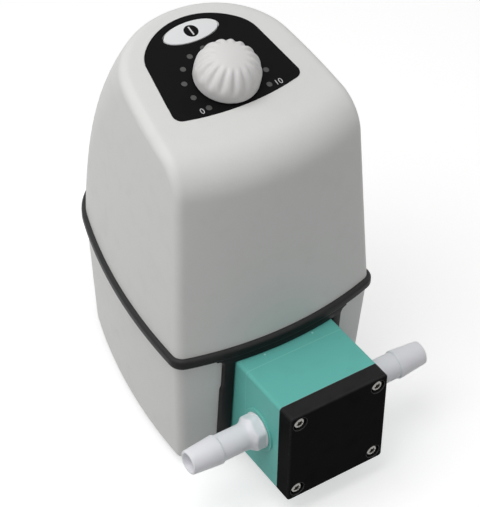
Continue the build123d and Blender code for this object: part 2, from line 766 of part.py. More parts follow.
def valve_plate():
    """Plate between the ports and the pump chamber, with the inlet valve's pocket."""
    plate = at_head(rod_y(VALVE_PLATE_R, SEAT_Y, RIM_Y))
    plate -= at_head(rod_y(CHAMBER_R, RIM_Y - CHAMBER_DEPTH, RIM_Y))
    plate -= at_head(rod_y(VALVE_R + VALVE_SIDE_GAP, SEAT_Y, SEAT_Y + valve_pocket_depth()), -VALVE_X)
    plate -= at_head(rod_y(OUTLET_HOLE_R, SEAT_Y, RIM_Y), VALVE_X)
    for n in range(SLOT_COUNT):
        turn = radians(n * 360 / SLOT_COUNT)
        hole = Pos(0, 0, SLOT_RING_R * sin(turn)) * rod_y(SLOT_HOLE_R, SEAT_Y, RIM_Y)
        plate -= at_head(hole, SLOT_RING_R * cos(turn) - VALVE_X)
    return plate


def valve_disc(start_y):
    """Flat disc valve with a rounded rim."""
    disc = rod_y(VALVE_R, start_y, start_y + VALVE_T)
    return fillet(disc.edges(), VALVE_T / 4)


def inlet_valve():
    return at_head(valve_disc(SEAT_Y), -VALVE_X)


def outlet_valve():
    return at_head(valve_disc(SEAT_Y - VALVE_T), VALVE_X)


def nozzle(side):
    """Screw-in hose nozzle: thread, collar, hexagon with a swept neck, shank and barb."""
    face = HEAD_SIDE / 2 + BOSS_PROUD
    nut_low = face + COLLAR_T
    nut_high = nut_low + NUT_T
    barb_low = NOZZLE_TIP_X - BARB_LENGTH
    corner = NUT_AF / sqrt(3)
    profile = [
        (0, face - THREAD_DEPTH),
        (THREAD_R, face - THREAD_DEPTH),
        (THREAD_R, face),
        (COLLAR_R, face),
        (COLLAR_R, nut_low),
        (SHANK_R, nut_low),
        (SHANK_R, barb_low),
        (BARB_R, barb_low + BARB_EDGE / 2),
        (BARB_R, barb_low + 2 * BARB_EDGE),
        (TIP_R, NOZZLE_TIP_X),
        (0, NOZZLE_TIP_X),
    ]
    body = revolve(Plane.XZ * make_face(Polyline(profile, close=True)), Axis.Z)
    neck = make_face([
        TangentArc((SHANK_R, nut_high), (corner, nut_high - NECK_L), tangent=(0, -1)),
        Polyline((corner, nut_high - NECK_L), (corner, nut_low), (0, nut_low), (0, nut_high)),
        Line((0, nut_high), (SHANK_R, nut_high)),
    ])
    nut = Rot(0, 0, 30) * hexagon_z(NUT_AF, nut_low, nut_high)
    nut = nut & revolve(Plane.XZ * neck, Axis.Z)
    body = body + nut - rod_z(NOZZLE_BORE_R, 0, BIG)
    return Pos(0, NOZZLE_Y, HEAD_Z) * Rot(0, side * 90, 0) * Rot(0, 0, 90) * body


def nozzle_rings():
    """Sealing rings round the nozzle threads, in the grooves of the port block."""
    place = HEAD_SIDE / 2 + BOSS_PROUD - RING_SECTION_R
    ring = Pos(0, 0, place) * Torus(THREAD_R + RING_SECTION_R, RING_SECTION_R)
    return [Pos(0, NOZZLE_Y, HEAD_Z) * Rot(0, side * 90, 0) * ring for side in (-1, 1)]


def diaphragm_profile():
    """Half section of the diaphragm: clamped rim, thin fold and thick hub."""
    fold_front = POCKET_Y - RIM_T / 2
    fold_back = fold_front + FOLD_T
    return [
        (0, HUB_FRONT_Y),
        (HUB_R - 1, HUB_FRONT_Y),
        (HUB_R, HUB_FRONT_Y + 1),
        (HUB_R + 1, fold_front),
        (FOLD_R, fold_front + FOLD_T / 2),
        (STROKE_BORE_R, fold_front),
        (CHAMBER_R, RIM_Y),
        (VALVE_PLATE_R, RIM_Y),
        (VALVE_PLATE_R, POCKET_Y),
        (STROKE_BORE_R, POCKET_Y),
        (STROKE_BORE_R - 0.6, fold_back),
        (FOLD_R, fold_back + FOLD_T / 2),
        (HUB_R + 1, fold_back),
        (HUB_R, HUB_BACK_Y),
        (0, HUB_BACK_Y),
    ]


def spun_about_head(profile):
    """Revolve a half section, given as radius and y, about the head's axis."""
    face = make_face(Polyline(profile, close=True))
    return at_head(revolve(face, Axis.Y))


def stud_flange_y():
    return HUB_FRONT_Y + STUD_FLANGE_T


def diaphragm():
    body = spun_about_head(diaphragm_profile())
    return body - diaphragm_stud()


def diaphragm_stud():
    """Threaded stud moulded into the diaphragm's hub."""
    flange = rod_y(STUD_FLANGE_R, stud_flange_y(), stud_flange_y() + STUD_FLANGE_T)
    return at_head(flange + rod_y(STUD_R, stud_flange_y(), ROD_END_Y + STUD_BITE))


def diaphragm_support():
    """Rounded disc between the rod and the diaphragm."""
    disc = rod_y(SUPPORT_R, HUB_BACK_Y, ROD_END_Y)
    disc = fillet(disc.edges().sort_by(Axis.Y)[0], SUPPORT_T / 3)
    return at_head(disc - rod_y(STUD_R + THREAD_GAP, HUB_BACK_Y, ROD_END_Y))


def journal_low():
    return HEAD_Z - JOURNAL_H / 2


def journal_high():
    return HEAD_Z + JOURNAL_H / 2


def connecting_rod():
    """Rod with a round big end about the crank pin and a tapped boss at the diaphragm."""
    big_r = ROD_BEARING_R + BIG_END_WALL
    reach = PIN_Y - ROD_END_Y
    eye = Pos(0, PIN_Y, HEAD_Z) * Cylinder(big_r, JOURNAL_H)
    arm = Pos(0, (PIN_Y + ROD_END_Y) / 2, HEAD_Z) * Box(ROD_W, reach, JOURNAL_H)
    boss = at_head(rod_y(ROD_BOSS_R, ROD_END_Y, ROD_END_Y + ROD_BOSS_L))
    rod = eye + arm + boss
    rod -= Pos(0, PIN_Y, HEAD_Z) * Cylinder(ROD_BEARING_R, JOURNAL_H)
    rod -= at_head(rod_y(STUD_R + THREAD_GAP, ROD_END_Y, ROD_END_Y + STUD_BITE + 1))
    return rod


def bearing(outer, inner, low, high):
    """Ball bearing drawn as one closed ring with its shield grooves."""
    ring = tube_z(outer, inner, low, high)
    middle = (outer + inner) / 2
    width = (outer - inner) / 5
    groove = tube_z(middle + width, middle - width, low, low + 0.4)
    groove += tube_z(middle + width, middle - width, high - 0.4, high)
    return ring - groove


def rod_bearing():
    inner = JOURNAL_R + RUNNING_GAP
    return Pos(0, PIN_Y, 0) * bearing(ROD_BEARING_R, inner, journal_low(), journal_high())


def eccentric():
    """Eccentric journal under the rod bearing, with its hub flange above."""
    pin = Pos(0, PIN_Y, 0) * rod_z(JOURNAL_R, journal_low() - AXIAL_GAP, journal_high() + AXIAL_GAP)
    hub_low = journal_high() + AXIAL_GAP
    hub = Pos(0, PIN_Y, 0) * rod_z(JOURNAL_R + 1.5, hub_low, hub_low + HUB_FLANGE_H)
    return pin + hub - Pos(0, CRANK_Y, 0) * rod_z(SHAFT_R, 0, BIG)


def counterweight():
    """Half-round weight on the shaft, opposite to the eccentric."""
    low = journal_high() + AXIAL_GAP + HUB_FLANGE_H
    disc = Pos(0, CRANK_Y, 0) * rod_z(WEIGHT_R, low, low + WEIGHT_H)
    cut = Pos(0, CRANK_Y + JOURNAL_R, 0) * Box(BIG, BIG, BIG, align=(Align.CENTER, Align.MIN, Align.CENTER))
    return disc - cut - Pos(0, CRANK_Y, 0) * rod_z(SHAFT_R, 0, BIG)


def crankcase():
    """Green flange and body: diaphragm seat, stroke bore and the crank's round chamber."""
    half = HEAD_SIDE / 2
    body = head_slab(SEAT_Y, CRANK_Y, HEAD_EDGE_R)
    body += Pos(0, CRANK_Y, 0) * rod_z(half, CASE_LOW_Z, CASE_TOP_Z)
    body -= at_head(rod_y(VALVE_PLATE_R, SEAT_Y, POCKET_Y))
    body -= at_head(rod_y(STROKE_BORE_R, POCKET_Y, CRANK_Y))
    body -= Pos(0, CRANK_Y, 0) * rod_z(CRANK_BORE_R, CASE_LOW_Z + CRANK_FLOOR, CASE_TOP_Z)
    body -= screw_holes(HEAD_SCREW_R + THREAD_GAP, SEAT_Y, SEAT_Y + HEAD_SCREW_BITE + 1)
    for x, y in LUGS:
        body -= Pos(x, y, 0) * rod_z(LUG_SCREW_R + THREAD_GAP, CASE_LOW_Z, CASE_LOW_Z + LUG_SCREW_BITE + 1)
    return body


def on_crank(shape):
    """Put a shape that was made about the z axis on the crank's axis."""
    return Pos(0, CRANK_Y, 0) * shape


def bearing_seats():
    """Heights of the undersides of the lower and the upper motor bearing."""
    return CASE_TOP_Z + (END_PLATE_T - BEARING_H) / 2, CAN_TOP_Z


def motor_end_plate():
    """Lower end plate of the motor, with a spigot in the crankcase and the bearing's seat."""
    low_seat = bearing_seats()[0]
    plate = rod_z(MOTOR_R, CASE_TOP_Z, CAN_Z)
    plate += rod_z(CRANK_BORE_R - SPIGOT_GAP, CASE_TOP_Z - SPIGOT_H, CASE_TOP_Z)
    plate -= rod_z(BEARING_R, low_seat, CAN_Z)
    plate -= rod_z(BEARING_R - 2, 0, BIG)
    return on_crank(plate)


def motor_can():
    """Drawn steel can with the upper bearing's boss."""
    can = rod_z(MOTOR_R, CAN_Z, CAN_TOP_Z)
    can = fillet(can.edges().sort_by(Axis.Z)[-1], CAN_WALL)
    can += rod_z(TOP_BOSS_R, CAN_TOP_Z, CAN_TOP_Z + TOP_BOSS_H)
    can -= rod_z(MOTOR_R - CAN_WALL, CAN_Z, CAN_TOP_Z - CAN_WALL)
    can -= rod_z(BEARING_R, CAN_TOP_Z - CAN_WALL, CAN_TOP_Z + BEARING_H)
    return on_crank(can)


def motor_magnets():
    """Two curved magnets bonded to the can."""
    outer = MOTOR_R - CAN_WALL
    low = CAN_Z + ARMATURE_Z - (MAGNET_H - ARMATURE_H) / 2
    ring = tube_z(outer, outer - MAGNET_T, low, low + MAGNET_H)
    half = MAGNET_ARC / 2
    edge = BIG
    sector = [(0, 0), (edge * cos(radians(half)), edge * sin(radians(half))), (edge, 0)]
    sector += [(edge * cos(radians(half)), -edge * sin(radians(half)))]
    wedge = extrude(make_face(Polyline(sector, close=True)), BIG)
    return [on_crank(Rot(0, 0, turn) * (ring & wedge)) for turn in (0, 180)]


def armature_r():
    return MOTOR_R - CAN_WALL - MAGNET_T - AIR_GAP


def armature_slots(width, depth):
    slots = Part()
    low = CAN_Z + ARMATURE_Z
    for n in range(SLOT_TOTAL):
        bar = Pos(armature_r() - depth / 2, 0, low + ARMATURE_H / 2) * Box(depth, width, ARMATURE_H)
        slots += Rot(0, 0, n * 360 / SLOT_TOTAL) * bar
    return slots


def armature_core():
    """Slotted stack of the armature."""
    low = CAN_Z + ARMATURE_Z
    core = tube_z(armature_r(), SHAFT_R, low, low + ARMATURE_H)
    return on_crank(core - armature_slots(SLOT_W, SLOT_DEPTH))


def armature_windings():
    """Copper in the slots with the rounded end turns."""
    low = CAN_Z + ARMATURE_Z
    inner = armature_r() - SLOT_DEPTH
    outer = armature_r() - 1
    copper = armature_slots(SLOT_W, SLOT_DEPTH) & tube_z(outer, inner - 1, low, low + ARMATURE_H)
    for start in (low - WINDING_OVERHANG, low + ARMATURE_H):
        turns = tube_z(outer, inner, start, start + WINDING_OVERHANG)
        away = turns.edges().sort_by(Axis.Z)
        away = away[:2] if start < low else away[-2:]
        copper += fillet(away, WINDING_OVERHANG / 3)
    return on_crank(copper)


def commutator():
    """Commutator below the armature, with a groove between the bars."""
    high = CAN_Z + ARMATURE_Z - WINDING_OVERHANG - 1
    drum = tube_z(COMMUTATOR_R, SHAFT_R, high - COMMUTATOR_H, high)
    for n in range(SLOT_TOTAL):
        groove = Pos(COMMUTATOR_R, 0, high - COMMUTATOR_H / 2) * Box(1, 0.5, COMMUTATOR_H)
        drum -= Rot(0, 0, n * 360 / SLOT_TOTAL) * groove
    return on_crank(drum)


def brush_z():
    return CAN_Z + ARMATURE_Z - WINDING_OVERHANG - 1 - COMMUTATOR_H / 2


def motor_brushes():
    """Two carbon brushes beside the commutator."""
    inner = COMMUTATOR_R + RUNNING_GAP
    bar = Pos(inner + BRUSH_L / 2, 0, brush_z()) * Box(BRUSH_L, BRUSH_W, BRUSH_W)
    return [on_crank(Rot(0, 0, turn) * bar) for turn in (0, 180)]


def brush_holder():
    """Insulating ring in the can with a box round each brush."""
    outer = MOTOR_R - CAN_WALL
    low = CAN_Z
    ring = tube_z(outer, BEARING_R, low, low + HOLDER_T)
    for turn in (0, 180):
        start = BEARING_R
        width = BRUSH_W + 2 * HOLDER_T
        length = outer - start - 1
        top = brush_z() + BRUSH_W / 2 + HOLDER_T
        post = Pos(start + length / 2, 0, (low + top) / 2) * Box(length, width, top - low)
        hole = Pos(start + BRUSH_L / 2, 0, brush_z()) * Box(BRUSH_L * 2, BRUSH_W, BRUSH_W)
        ring += Rot(0, 0, turn) * post
        ring -= Rot(0, 0, turn) * hole
    return on_crank(ring)


def motor_shaft():
    """Shaft from the crank pin up through both motor bearings."""
    top = bearing_seats()[1] + BEARING_H - 1
    shaft = rod_z(SHAFT_R, SHAFT_END_Z, top)
    return on_crank(chamfer(shaft.edges().filter_by(GeomType.CIRCLE), 0.5))


def motor_bearing(low):
    return on_crank(bearing(BEARING_R, SHAFT_R + RUNNING_GAP, low, low + BEARING_H))


def panel_overlay():
    """Black panel film in the roof's recess."""
    film = Pos(0, 0, PANEL_PROUD - PANEL_T) * extrude(panel_outline(), PANEL_T)
    film -= ellipse_z(BUTTON_A + BUTTON_GAP, BUTTON_B + BUTTON_GAP, -WALL, WALL)
    film -= dot_cylinders(DOT_R + DOT_GAP, -WALL, WALL)
    film -= rod_z(BUSHING_R + BUSHING_GAP, -WALL, WALL)
    return ROOF * film


def scale_lenses():
    """Light pipes of the dial's dots, each with a flange under the roof."""
    pipe = rod_z(DOT_R, BOARD_TOP + 2 * LED_H, PANEL_PROUD)
    pipe += rod_z(PIPE_FLANGE_R, -WALL - PIPE_FLANGE_T, -WALL)
    return [ROOF * Pos(x, v, 0) * pipe for x, v in DOTS]


def scale_lamps():
    """Small lamps on the control board below the light pipes."""
    lamp = Pos(0, 0, BOARD_TOP + LED_H / 2) * Box(LED_W, LED_W * 0.6, LED_H)
    return [ROOF * Pos(x, v, 0) * lamp for x, v in DOTS]


def knob_profile():
    """Half section of the knob: flared skirt, leaning side and domed top."""
    low = PANEL_PROUD + KNOB_LIFT
    high = low + KNOB_H
    skirt = (KNOB_R, low + KNOB_SKIRT_H)
    waist = (KNOB_WAIST_R, low + KNOB_WAIST_H)
    brow = (KNOB_TOP_R, high - KNOB_DOME_H)
    return [
        Line((0, low), (KNOB_R - 0.4, low)),
        Line((KNOB_R - 0.4, low), (KNOB_R, low + 0.5)),
        Line((KNOB_R, low + 0.5), skirt),
        Spline([skirt, waist, brow]),
        TangentArc((0, high), brow, tangent=(1, 0)),
        Line((0, high), (0, low)),
    ]


def flow_knob():
    """Fluted knob: the flutes start at the domed top and run out above the skirt."""
    low = PANEL_PROUD + KNOB_LIFT
    body = revolve(Plane.XZ * make_face(knob_profile()), Axis.Z)
    flute = Pos(KNOB_R + FLUTE_R + FLUTE_GAP, 0, low + KNOB_SKIRT_H) * Rot(0, -FLUTE_LEAN, 0)
    flute = flute * Cylinder(FLUTE_R, 2 * KNOB_H, align=(Align.CENTER, Align.CENTER, Align.MIN))
    for n in range(KNOB_FLUTES):
        body -= Rot(0, 0, (n + 0.5) * 360 / KNOB_FLUTES) * flute
    body -= rod_z(KNOB_HOLLOW_R, low, low + KNOB_HOLLOW_H)
    body -= spindle_solid()
    return ROOF * body


def spindle_solid():
    """Round spindle with a flat along its upper end."""
    spindle = rod_z(SPINDLE_R, BOARD_TOP + BOARD_T, SPINDLE_TOP)
    flat_low = BUSHING_TOP + 1
    cut = Pos(SPINDLE_R - SPINDLE_FLAT, 0, flat_low)
    cut = cut * Box(SPINDLE_R, 3 * SPINDLE_R, BIG, align=(Align.MIN, Align.CENTER, Align.MIN))
    return spindle - cut


def control_spindle():
    return ROOF * spindle_solid()


def flow_control():
    """Rotary control under the roof, with a threaded bushing through it."""
    body = rod_z(POT_R, BOARD_TOP, -WALL) + rod_z(BUSHING_R, -WALL, BUSHING_TOP)
    body -= rod_z(SPINDLE_R + SPINDLE_GAP, BOARD_TOP + BOARD_T - SPINDLE_GAP, BUSHING_TOP)
    return ROOF * body


def control_nut():
    """Nut that clamps the rotary control to the roof, inside the knob's skirt."""
    nut = hexagon_z(POT_NUT_AF, PANEL_PROUD, PANEL_PROUD + POT_NUT_T)
    return ROOF * (nut - rod_z(BUSHING_R + THREAD_GAP, 0, BIG))


def button_flange_z():
    return -WALL - BUTTON_GAP / 3


def switch_top():
    return BOARD_TOP + SWITCH_H


def plunger_top():
    return switch_top() + BUTTON_TRAVEL + BUTTON_GAP


def power_button():
    """Oval push button with a flange that keeps it under the roof."""
    flange_high = button_flange_z()
    flange_low = flange_high - BUTTON_FLANGE_T
    cap = ellipse_z(BUTTON_A, BUTTON_B, flange_low, PANEL_PROUD + BUTTON_PROUD)
    cap = fillet(cap.edges().sort_by(Axis.Z)[-1], BUTTON_PROUD / 2)
    cap += ellipse_z(BUTTON_A + BUTTON_FLANGE, BUTTON_B + BUTTON_FLANGE, flange_low, flange_high)
    cap += Pos(0, BUTTON_V, 0) * rod_z(BUTTON_STEM_R, plunger_top(), flange_low)
    return ROOF * cap


def button_switch():
    """Push switch on the control board, with a bore for its plunger."""
    body = Pos(0, BUTTON_V, BOARD_TOP + SWITCH_H / 2) * Box(SWITCH_W, SWITCH_W, SWITCH_H)
    body -= Pos(0, BUTTON_V, 0) * rod_z(PLUNGER_R + PLUNGER_GAP, BOARD_TOP + 0.4, switch_top())
    return ROOF * body


def switch_plunger():
    plunger = rod_z(PLUNGER_R, plunger_top() - PLUNGER_L, plunger_top())
    return ROOF * Pos(0, BUTTON_V, 0) * plunger


def control_board():
    """Board under the roof with a rounded rear end."""
    length = BOARD_ROUND_V - BOARD_FRONT_V
    front = Pos(0, (BOARD_FRONT_V + BOARD_ROUND_V) / 2) * Rectangle(2 * BOARD_HALF, length)
    shape = front + Pos(0, BOARD_ROUND_V) * Circle(BOARD_HALF)
    board = Pos(0, 0, BOARD_TOP - BOARD_T) * extrude(shape, BOARD_T)
    for x, v in BOARD_POSTS:
        board -= Pos(x, v, 0) * rod_z(BOARD_SCREW_R + SCREW_GAP, BOARD_TOP - BOARD_T, BOARD_TOP)
    return ROOF * board


def board_screws():
    """Small screws from below that hold the control board."""
    seat = BOARD_TOP - BOARD_T
    screw = rod_z(BOARD_SCREW_HEAD_R, seat - BOARD_SCREW_HEAD_H, seat)
    screw += rod_z(BOARD_SCREW_R, seat, BOARD_TOP + BOARD_SCREW_BITE)
    return [ROOF * Pos(x, v, 0) * screw for x, v in BOARD_POSTS]


def power_board():
    """Upright board that stands in the guides on the floor."""
    low = FLOOR_Z + GUIDE_H - POWER_SUNK
    height = POWER_TOP_Z - low
    board = Pos(0, POWER_Y + BOARD_T / 2, low + height / 2) * Box(2 * POWER_HALF, BOARD_T, height)
    return board


def transformer():
    """Mains transformer: wound bobbin in a laminated frame."""
    front = POWER_Y + BOARD_T
    middle = Pos(0, front + TRANSFORMER_D / 2, TRANSFORMER_Z + TRANSFORMER_H / 2)
    frame = Box(TRANSFORMER_W, STACK_D, TRANSFORMER_H)
    coil = Box(COIL_W, TRANSFORMER_D, COIL_H)
    coil = fillet(coil.edges().filter_by(Axis.Z), COIL_EDGE_R)
    return middle * (frame + coil)


def capacitors():
    """Row of electrolytic capacitors lying off the power board."""
    front = POWER_Y + BOARD_T
    can = rod_y(CAPACITOR_R, front, front + CAPACITOR_L)
    can = fillet(can.edges().sort_by(Axis.Y)[-1], CAPACITOR_R / 8)
    pitch = 2 * CAPACITOR_R + 1
    start = -(CAPACITOR_COUNT - 1) / 2
    return [Pos((start + n) * pitch, 0, CAPACITOR_Z) * can for n in range(CAPACITOR_COUNT)]


def heat_sink():
    """Finned heat sink on the power board."""
    front = POWER_Y + BOARD_T
    middle_z = SINK_Z + SINK_H / 2
    sink = Pos(0, front + SINK_BACK_T / 2, middle_z) * Box(SINK_W, SINK_BACK_T, SINK_H)
    pitch = (SINK_W - SINK_FIN_T) / (SINK_FINS - 1)
    for n in range(SINK_FINS):
        x = -SINK_W / 2 + SINK_FIN_T / 2 + n * pitch
        y = front + (SINK_BACK_T + SINK_FIN_D) / 2
        sink += Pos(x, y, middle_z) * Box(SINK_FIN_T, SINK_BACK_T + SINK_FIN_D, SINK_H)
    return sink


def terminal_block():
    """Screw terminals for the mains leads, on the floor in front of the gland."""
    block = Pos(0, TERMINAL_Y, FLOOR_Z + TERMINAL_H / 2) * Box(TERMINAL_W, TERMINAL_D, TERMINAL_H)
    pitch = TERMINAL_W / TERMINAL_WAYS
    high = FLOOR_Z + TERMINAL_H
    for n in range(TERMINAL_WAYS):
        x = (n - (TERMINAL_WAYS - 1) / 2) * pitch
        block -= Pos(x, TERMINAL_Y, 0) * rod_z(TERMINAL_SCREW_R, high - TERMINAL_H / 2, high)
        block -= Pos(x, 0, FLOOR_Z + TERMINAL_H / 3) * rod_y(TERMINAL_SCREW_R, TERMINAL_Y, POST_REAR_Y + BIG)
    return block


def at_gland(shape):
    """Put a shape that was made about the z axis, up being rearwards, on the gland's axis."""
    return Pos(0, 0, GLAND_Z) * Rot(-90, 0, 0) * shape


def locknut_face():
    """Inner face of the gland's pad, where the locknut seats."""
    return PAD_Y - GLAND_PAD_T


def gland_body():
    """Gland body: thread through the wall, hexagon flange and neck for the dome nut."""
    flange_low = PAD_Y + GLAND_WASHER_T
    body = rod_z(GLAND_THREAD_R, locknut_face() - LOCKNUT_T - 1, flange_low)
    body += hexagon_z(GLAND_AF, flange_low, GLAND_FACE_Y)
    body += rod_z(GLAND_NECK_R, GLAND_FACE_Y, GLAND_FACE_Y + GLAND_NECK_L)
    body -= rod_z(GLAND_INNER_R, 0, BIG)
    return at_gland(body)


def gland_washer():
    low = PAD_Y
    return at_gland(tube_z(GLAND_WASHER_R, GLAND_THREAD_R + THREAD_GAP, low, low + GLAND_WASHER_T))


def cable_seal():
    """Rubber sleeve in the gland that would grip the cable."""
    high = GLAND_FACE_Y + DOME_L - DOME_LIP - THREAD_GAP
    return at_gland(tube_z(GLAND_INNER_R - THREAD_GAP, GLAND_SEAL_R, high - GLAND_SEAL_L, high))


def dome_nut():
    """Domed nut that squeezes the cable seal."""
    low = GLAND_FACE_Y
    high = low + DOME_L
    nut = hexagon_z(2 * DOME_R, low, low + DOME_HEX_L)
    nut += rod_z(DOME_R, low + DOME_HEX_L, high)
    nut = fillet(nut.edges().sort_by(Axis.Z)[-1], DOME_EDGE_R)
    nut -= rod_z(GLAND_NECK_R + THREAD_GAP, low, low + GLAND_NECK_L + 0.5)
    nut -= rod_z(GLAND_INNER_R, low, high - DOME_LIP)
    nut -= rod_z(DOME_MOUTH_R, low, high)
    return at_gland(nut)


def gland_locknut():
    high = locknut_face()
    nut = hexagon_z(LOCKNUT_AF, high - LOCKNUT_T, high) - rod_z(GLAND_THREAD_R + THREAD_GAP, 0, BIG)
    return at_gland(nut)


def save(name, solids):
    """Write one sub-part, moved so that y is 0 in the middle of the whole pump."""
    pieces = solids if isinstance(solids, list) else [solids]
    whole = Compound([solid for piece in pieces for solid in piece.solids()])
    export_step(Pos(0, -MIDDLE_Y, 0) * whole, "parts/" + name + ".step")


LOW_BEARING_Z, TOP_BEARING_Z = bearing_seats()
NODES = {
    "upper_housing": upper_housing(),
    "lower_housing": lower_housing(),
    "parting_seal": parting_seal(),
    "feet": feet(),
    "case_screws": case_screws(),
    "head_plate": head_plate(),
    "head_screws": head_screws(),
    "port_block": port_block(),
    "valve_plate": valve_plate(),
    "inlet_valve": inlet_valve(),
    "outlet_valve": outlet_valve(),
    "inlet_nozzle": nozzle(-1),
    "outlet_nozzle": nozzle(1),
    "nozzle_rings": nozzle_rings(),
    "diaphragm": diaphragm(),
    "diaphragm_stud": diaphragm_stud(),
    "diaphragm_support": diaphragm_support(),
    "connecting_rod": connecting_rod(),
    "rod_bearing": rod_bearing(),
    "eccentric": eccentric(),
    "counterweight": counterweight(),
    "crankcase": crankcase(),
    "crankcase_screws": crankcase_screws(),
    "motor_end_plate": motor_end_plate(),
    "motor_can": motor_can(),
    "motor_magnets": motor_magnets(),
    "armature_core": armature_core(),
    "armature_windings": armature_windings(),
    "commutator": commutator(),
    "motor_brushes": motor_brushes(),
    "brush_holder": brush_holder(),
    "motor_shaft": motor_shaft(),
    "lower_bearing": motor_bearing(LOW_BEARING_Z),
    "upper_bearing": motor_bearing(TOP_BEARING_Z),
    "panel_overlay": panel_overlay(),
    "scale_lenses": scale_lenses(),
    "scale_lamps": scale_lamps(),
    "flow_knob": flow_knob(),
    "control_spindle": control_spindle(),
    "flow_control": flow_control(),
    "control_nut": control_nut(),
    "power_button": power_button(),
    "button_switch": button_switch(),
    "switch_plunger": switch_plunger(),
    "control_board": control_board(),
    "board_screws": board_screws(),
    "power_board": power_board(),
    "transformer": transformer(),
    "capacitors": capacitors(),
    "heat_sink": heat_sink(),
    "terminal_block": terminal_block(),
    "gland_body": gland_body(),
    "gland_washer": gland_washer(),
    "cable_seal": cable_seal(),
    "dome_nut": dome_nut(),
    "gland_locknut": gland_locknut(),
}
for node, solids in NODES.items():
    save(node, solids)
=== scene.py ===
import json
from math import cos, pi, radians, sin, sqrt, tan

import bmesh
import bpy
import numpy as np
from mathutils import Matrix, Vector


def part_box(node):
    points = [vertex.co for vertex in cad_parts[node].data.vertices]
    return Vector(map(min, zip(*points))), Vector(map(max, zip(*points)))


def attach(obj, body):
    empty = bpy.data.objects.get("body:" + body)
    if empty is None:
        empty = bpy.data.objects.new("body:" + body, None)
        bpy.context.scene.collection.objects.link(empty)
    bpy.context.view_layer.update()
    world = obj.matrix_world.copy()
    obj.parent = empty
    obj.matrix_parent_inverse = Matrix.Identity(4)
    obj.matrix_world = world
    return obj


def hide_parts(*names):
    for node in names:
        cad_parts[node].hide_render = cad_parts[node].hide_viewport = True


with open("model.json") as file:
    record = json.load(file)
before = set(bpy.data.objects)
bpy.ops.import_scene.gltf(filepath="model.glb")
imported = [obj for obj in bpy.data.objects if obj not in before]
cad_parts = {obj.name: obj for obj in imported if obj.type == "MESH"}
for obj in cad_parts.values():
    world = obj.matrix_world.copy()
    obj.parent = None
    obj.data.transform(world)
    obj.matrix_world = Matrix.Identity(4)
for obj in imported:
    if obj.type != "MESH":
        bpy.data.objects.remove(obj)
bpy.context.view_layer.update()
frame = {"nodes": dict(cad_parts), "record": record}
NODES = frame["nodes"]
SLOT_OF = {part["node"]: part["material_slot"] for part in frame["record"]["subparts"]}

# A bench-top liquid transfer pump. Lengths are in millimetres in the pump's own layout
# (y is 0 at the front of the head plate, z is 0 on the table) and become metres in place.
MM = 0.001
MIDDLE_Y = -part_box("head_plate")[0].y / MM

# Casing, in plan at the seam, and how its walls lean
SEAM_Z = 65.0
SEAM_HALF_WIDTH = 47.9
SEAM_CORNER_Y = 46.2
SEAM_REAR_Y = 166.9
FRONT_BOW = 7.4
SIDE_R = 275.0
WIDEST_Y = 54.3
REAR_FLAT = 0.6
REAR_CURVE = 43.5
UPPER_LEANS = (3.0, 4.3, 1.0)
LOWER_LEANS = (2.85, 3.2, 3.2)
ROOF_SLOPE = radians(15.0)
DIAL_Y = 85.2
DIAL_Z = 165.0
CROWN_Z = 179.0
SHOULDER_R = 18.6
CORNER_R = 4.6
BASE_EDGE_R = 1.5
BASE_Z = 4.0
SHELL_T = 2.4
SEAM_OVERLAP = 0.5

# Half a ring of the casing: its steps, and the share of it that the front takes
RING_HALF = 130
FRONT_PART = 0.22

# Seal round the seam and its frame round the head
BEAD_H = 5.2
BEAD_PROUD = 1.8
BEAD_ROUND = 1.7
SEAL_SEAT = 1.0
FRAME_STEP = 0.6
FRAME_STEP_Z = 46.0
FRAME_STEP_H = 1.6
FRAME_SIDE = 5.2
FRAME_LOW = 5.0
FRAME_FLARE_R = 3.0
FRAME_CORNER_R = 5.0
FRAME_EDGE_R = 1.0
WINDOW_GAP = 0.2

# Pump head
HEAD_Z = 36.0
HEAD_SIDE = 48.0
NOZZLE_Y = 21.6
PIPS = [(-11.9, 36.5), (11.9, 36.5)]
PIP_R = 0.5
PIP_H = 0.4
NOZZLE_FACE = 24.6
NOZZLE_TIP_X = 58.6
NOZZLE_BORE_R = 4.2
THREAD_R = 6.5
THREAD_DEPTH = 11.0
COLLAR_R = 8.0
COLLAR_T = 0.7
HEXAGON_POWER = 16
NUT_AF = 14.3
NUT_T = 7.4
NUT_LOW = NOZZLE_FACE + COLLAR_T
NUT_HIGH = NUT_LOW + NUT_T
NECK_L = 3.8
SHANK_R = 5.8
BARB_LENGTH = 14.2
BARB_R = 6.4
BARB_EDGE = 0.5
TIP_R = 5.25

# Head screws, sunk in the cover plate, with a six-lobed recess
SCREW_PITCH = 38.4
SCREW_R = 1.5
SCREW_HEAD_R = 2.85
SCREW_FACE = 0.4
SCREW_SEAT = 3.4
SCREW_END = 42.0
RECESS_R = 1.34
RECESS_LOBE = 0.25
RECESS_DEPTH = 1.8

# Openings of the lower casing
FEET = [(-33.0, 63.0), (33.0, 63.0), (-15.0, 146.0), (15.0, 146.0)]
FOOT_WELL = [(8.2, 4.0), (8.2, 5.0), (2.6, 5.0)]
POSTS = [(-36.5, 84.0), (36.5, 84.0), (-29.0, 128.0), (29.0, 128.0)]
POST_HOLE_R = 3.5
POST_TUBE = [(3.8, 6.0), (4.6, 6.0), (4.6, 64.0), (2.2, 64.0), (2.2, 50.0), (3.8, 50.0)]
LUGS = [(-17.0, 52.0), (17.0, 52.0), (-12.0, 90.0), (12.0, 90.0)]
LUG_WELL = [(3.8, 4.0), (3.8, 6.4), (2.2, 6.4)]
GLAND_Z = 28.0
GLAND_PAD_R = 14.0
GLAND_PAD_Y = 167.7
GLAND_PAD_T = 9.0
GLAND_HOLE_R = 8.2

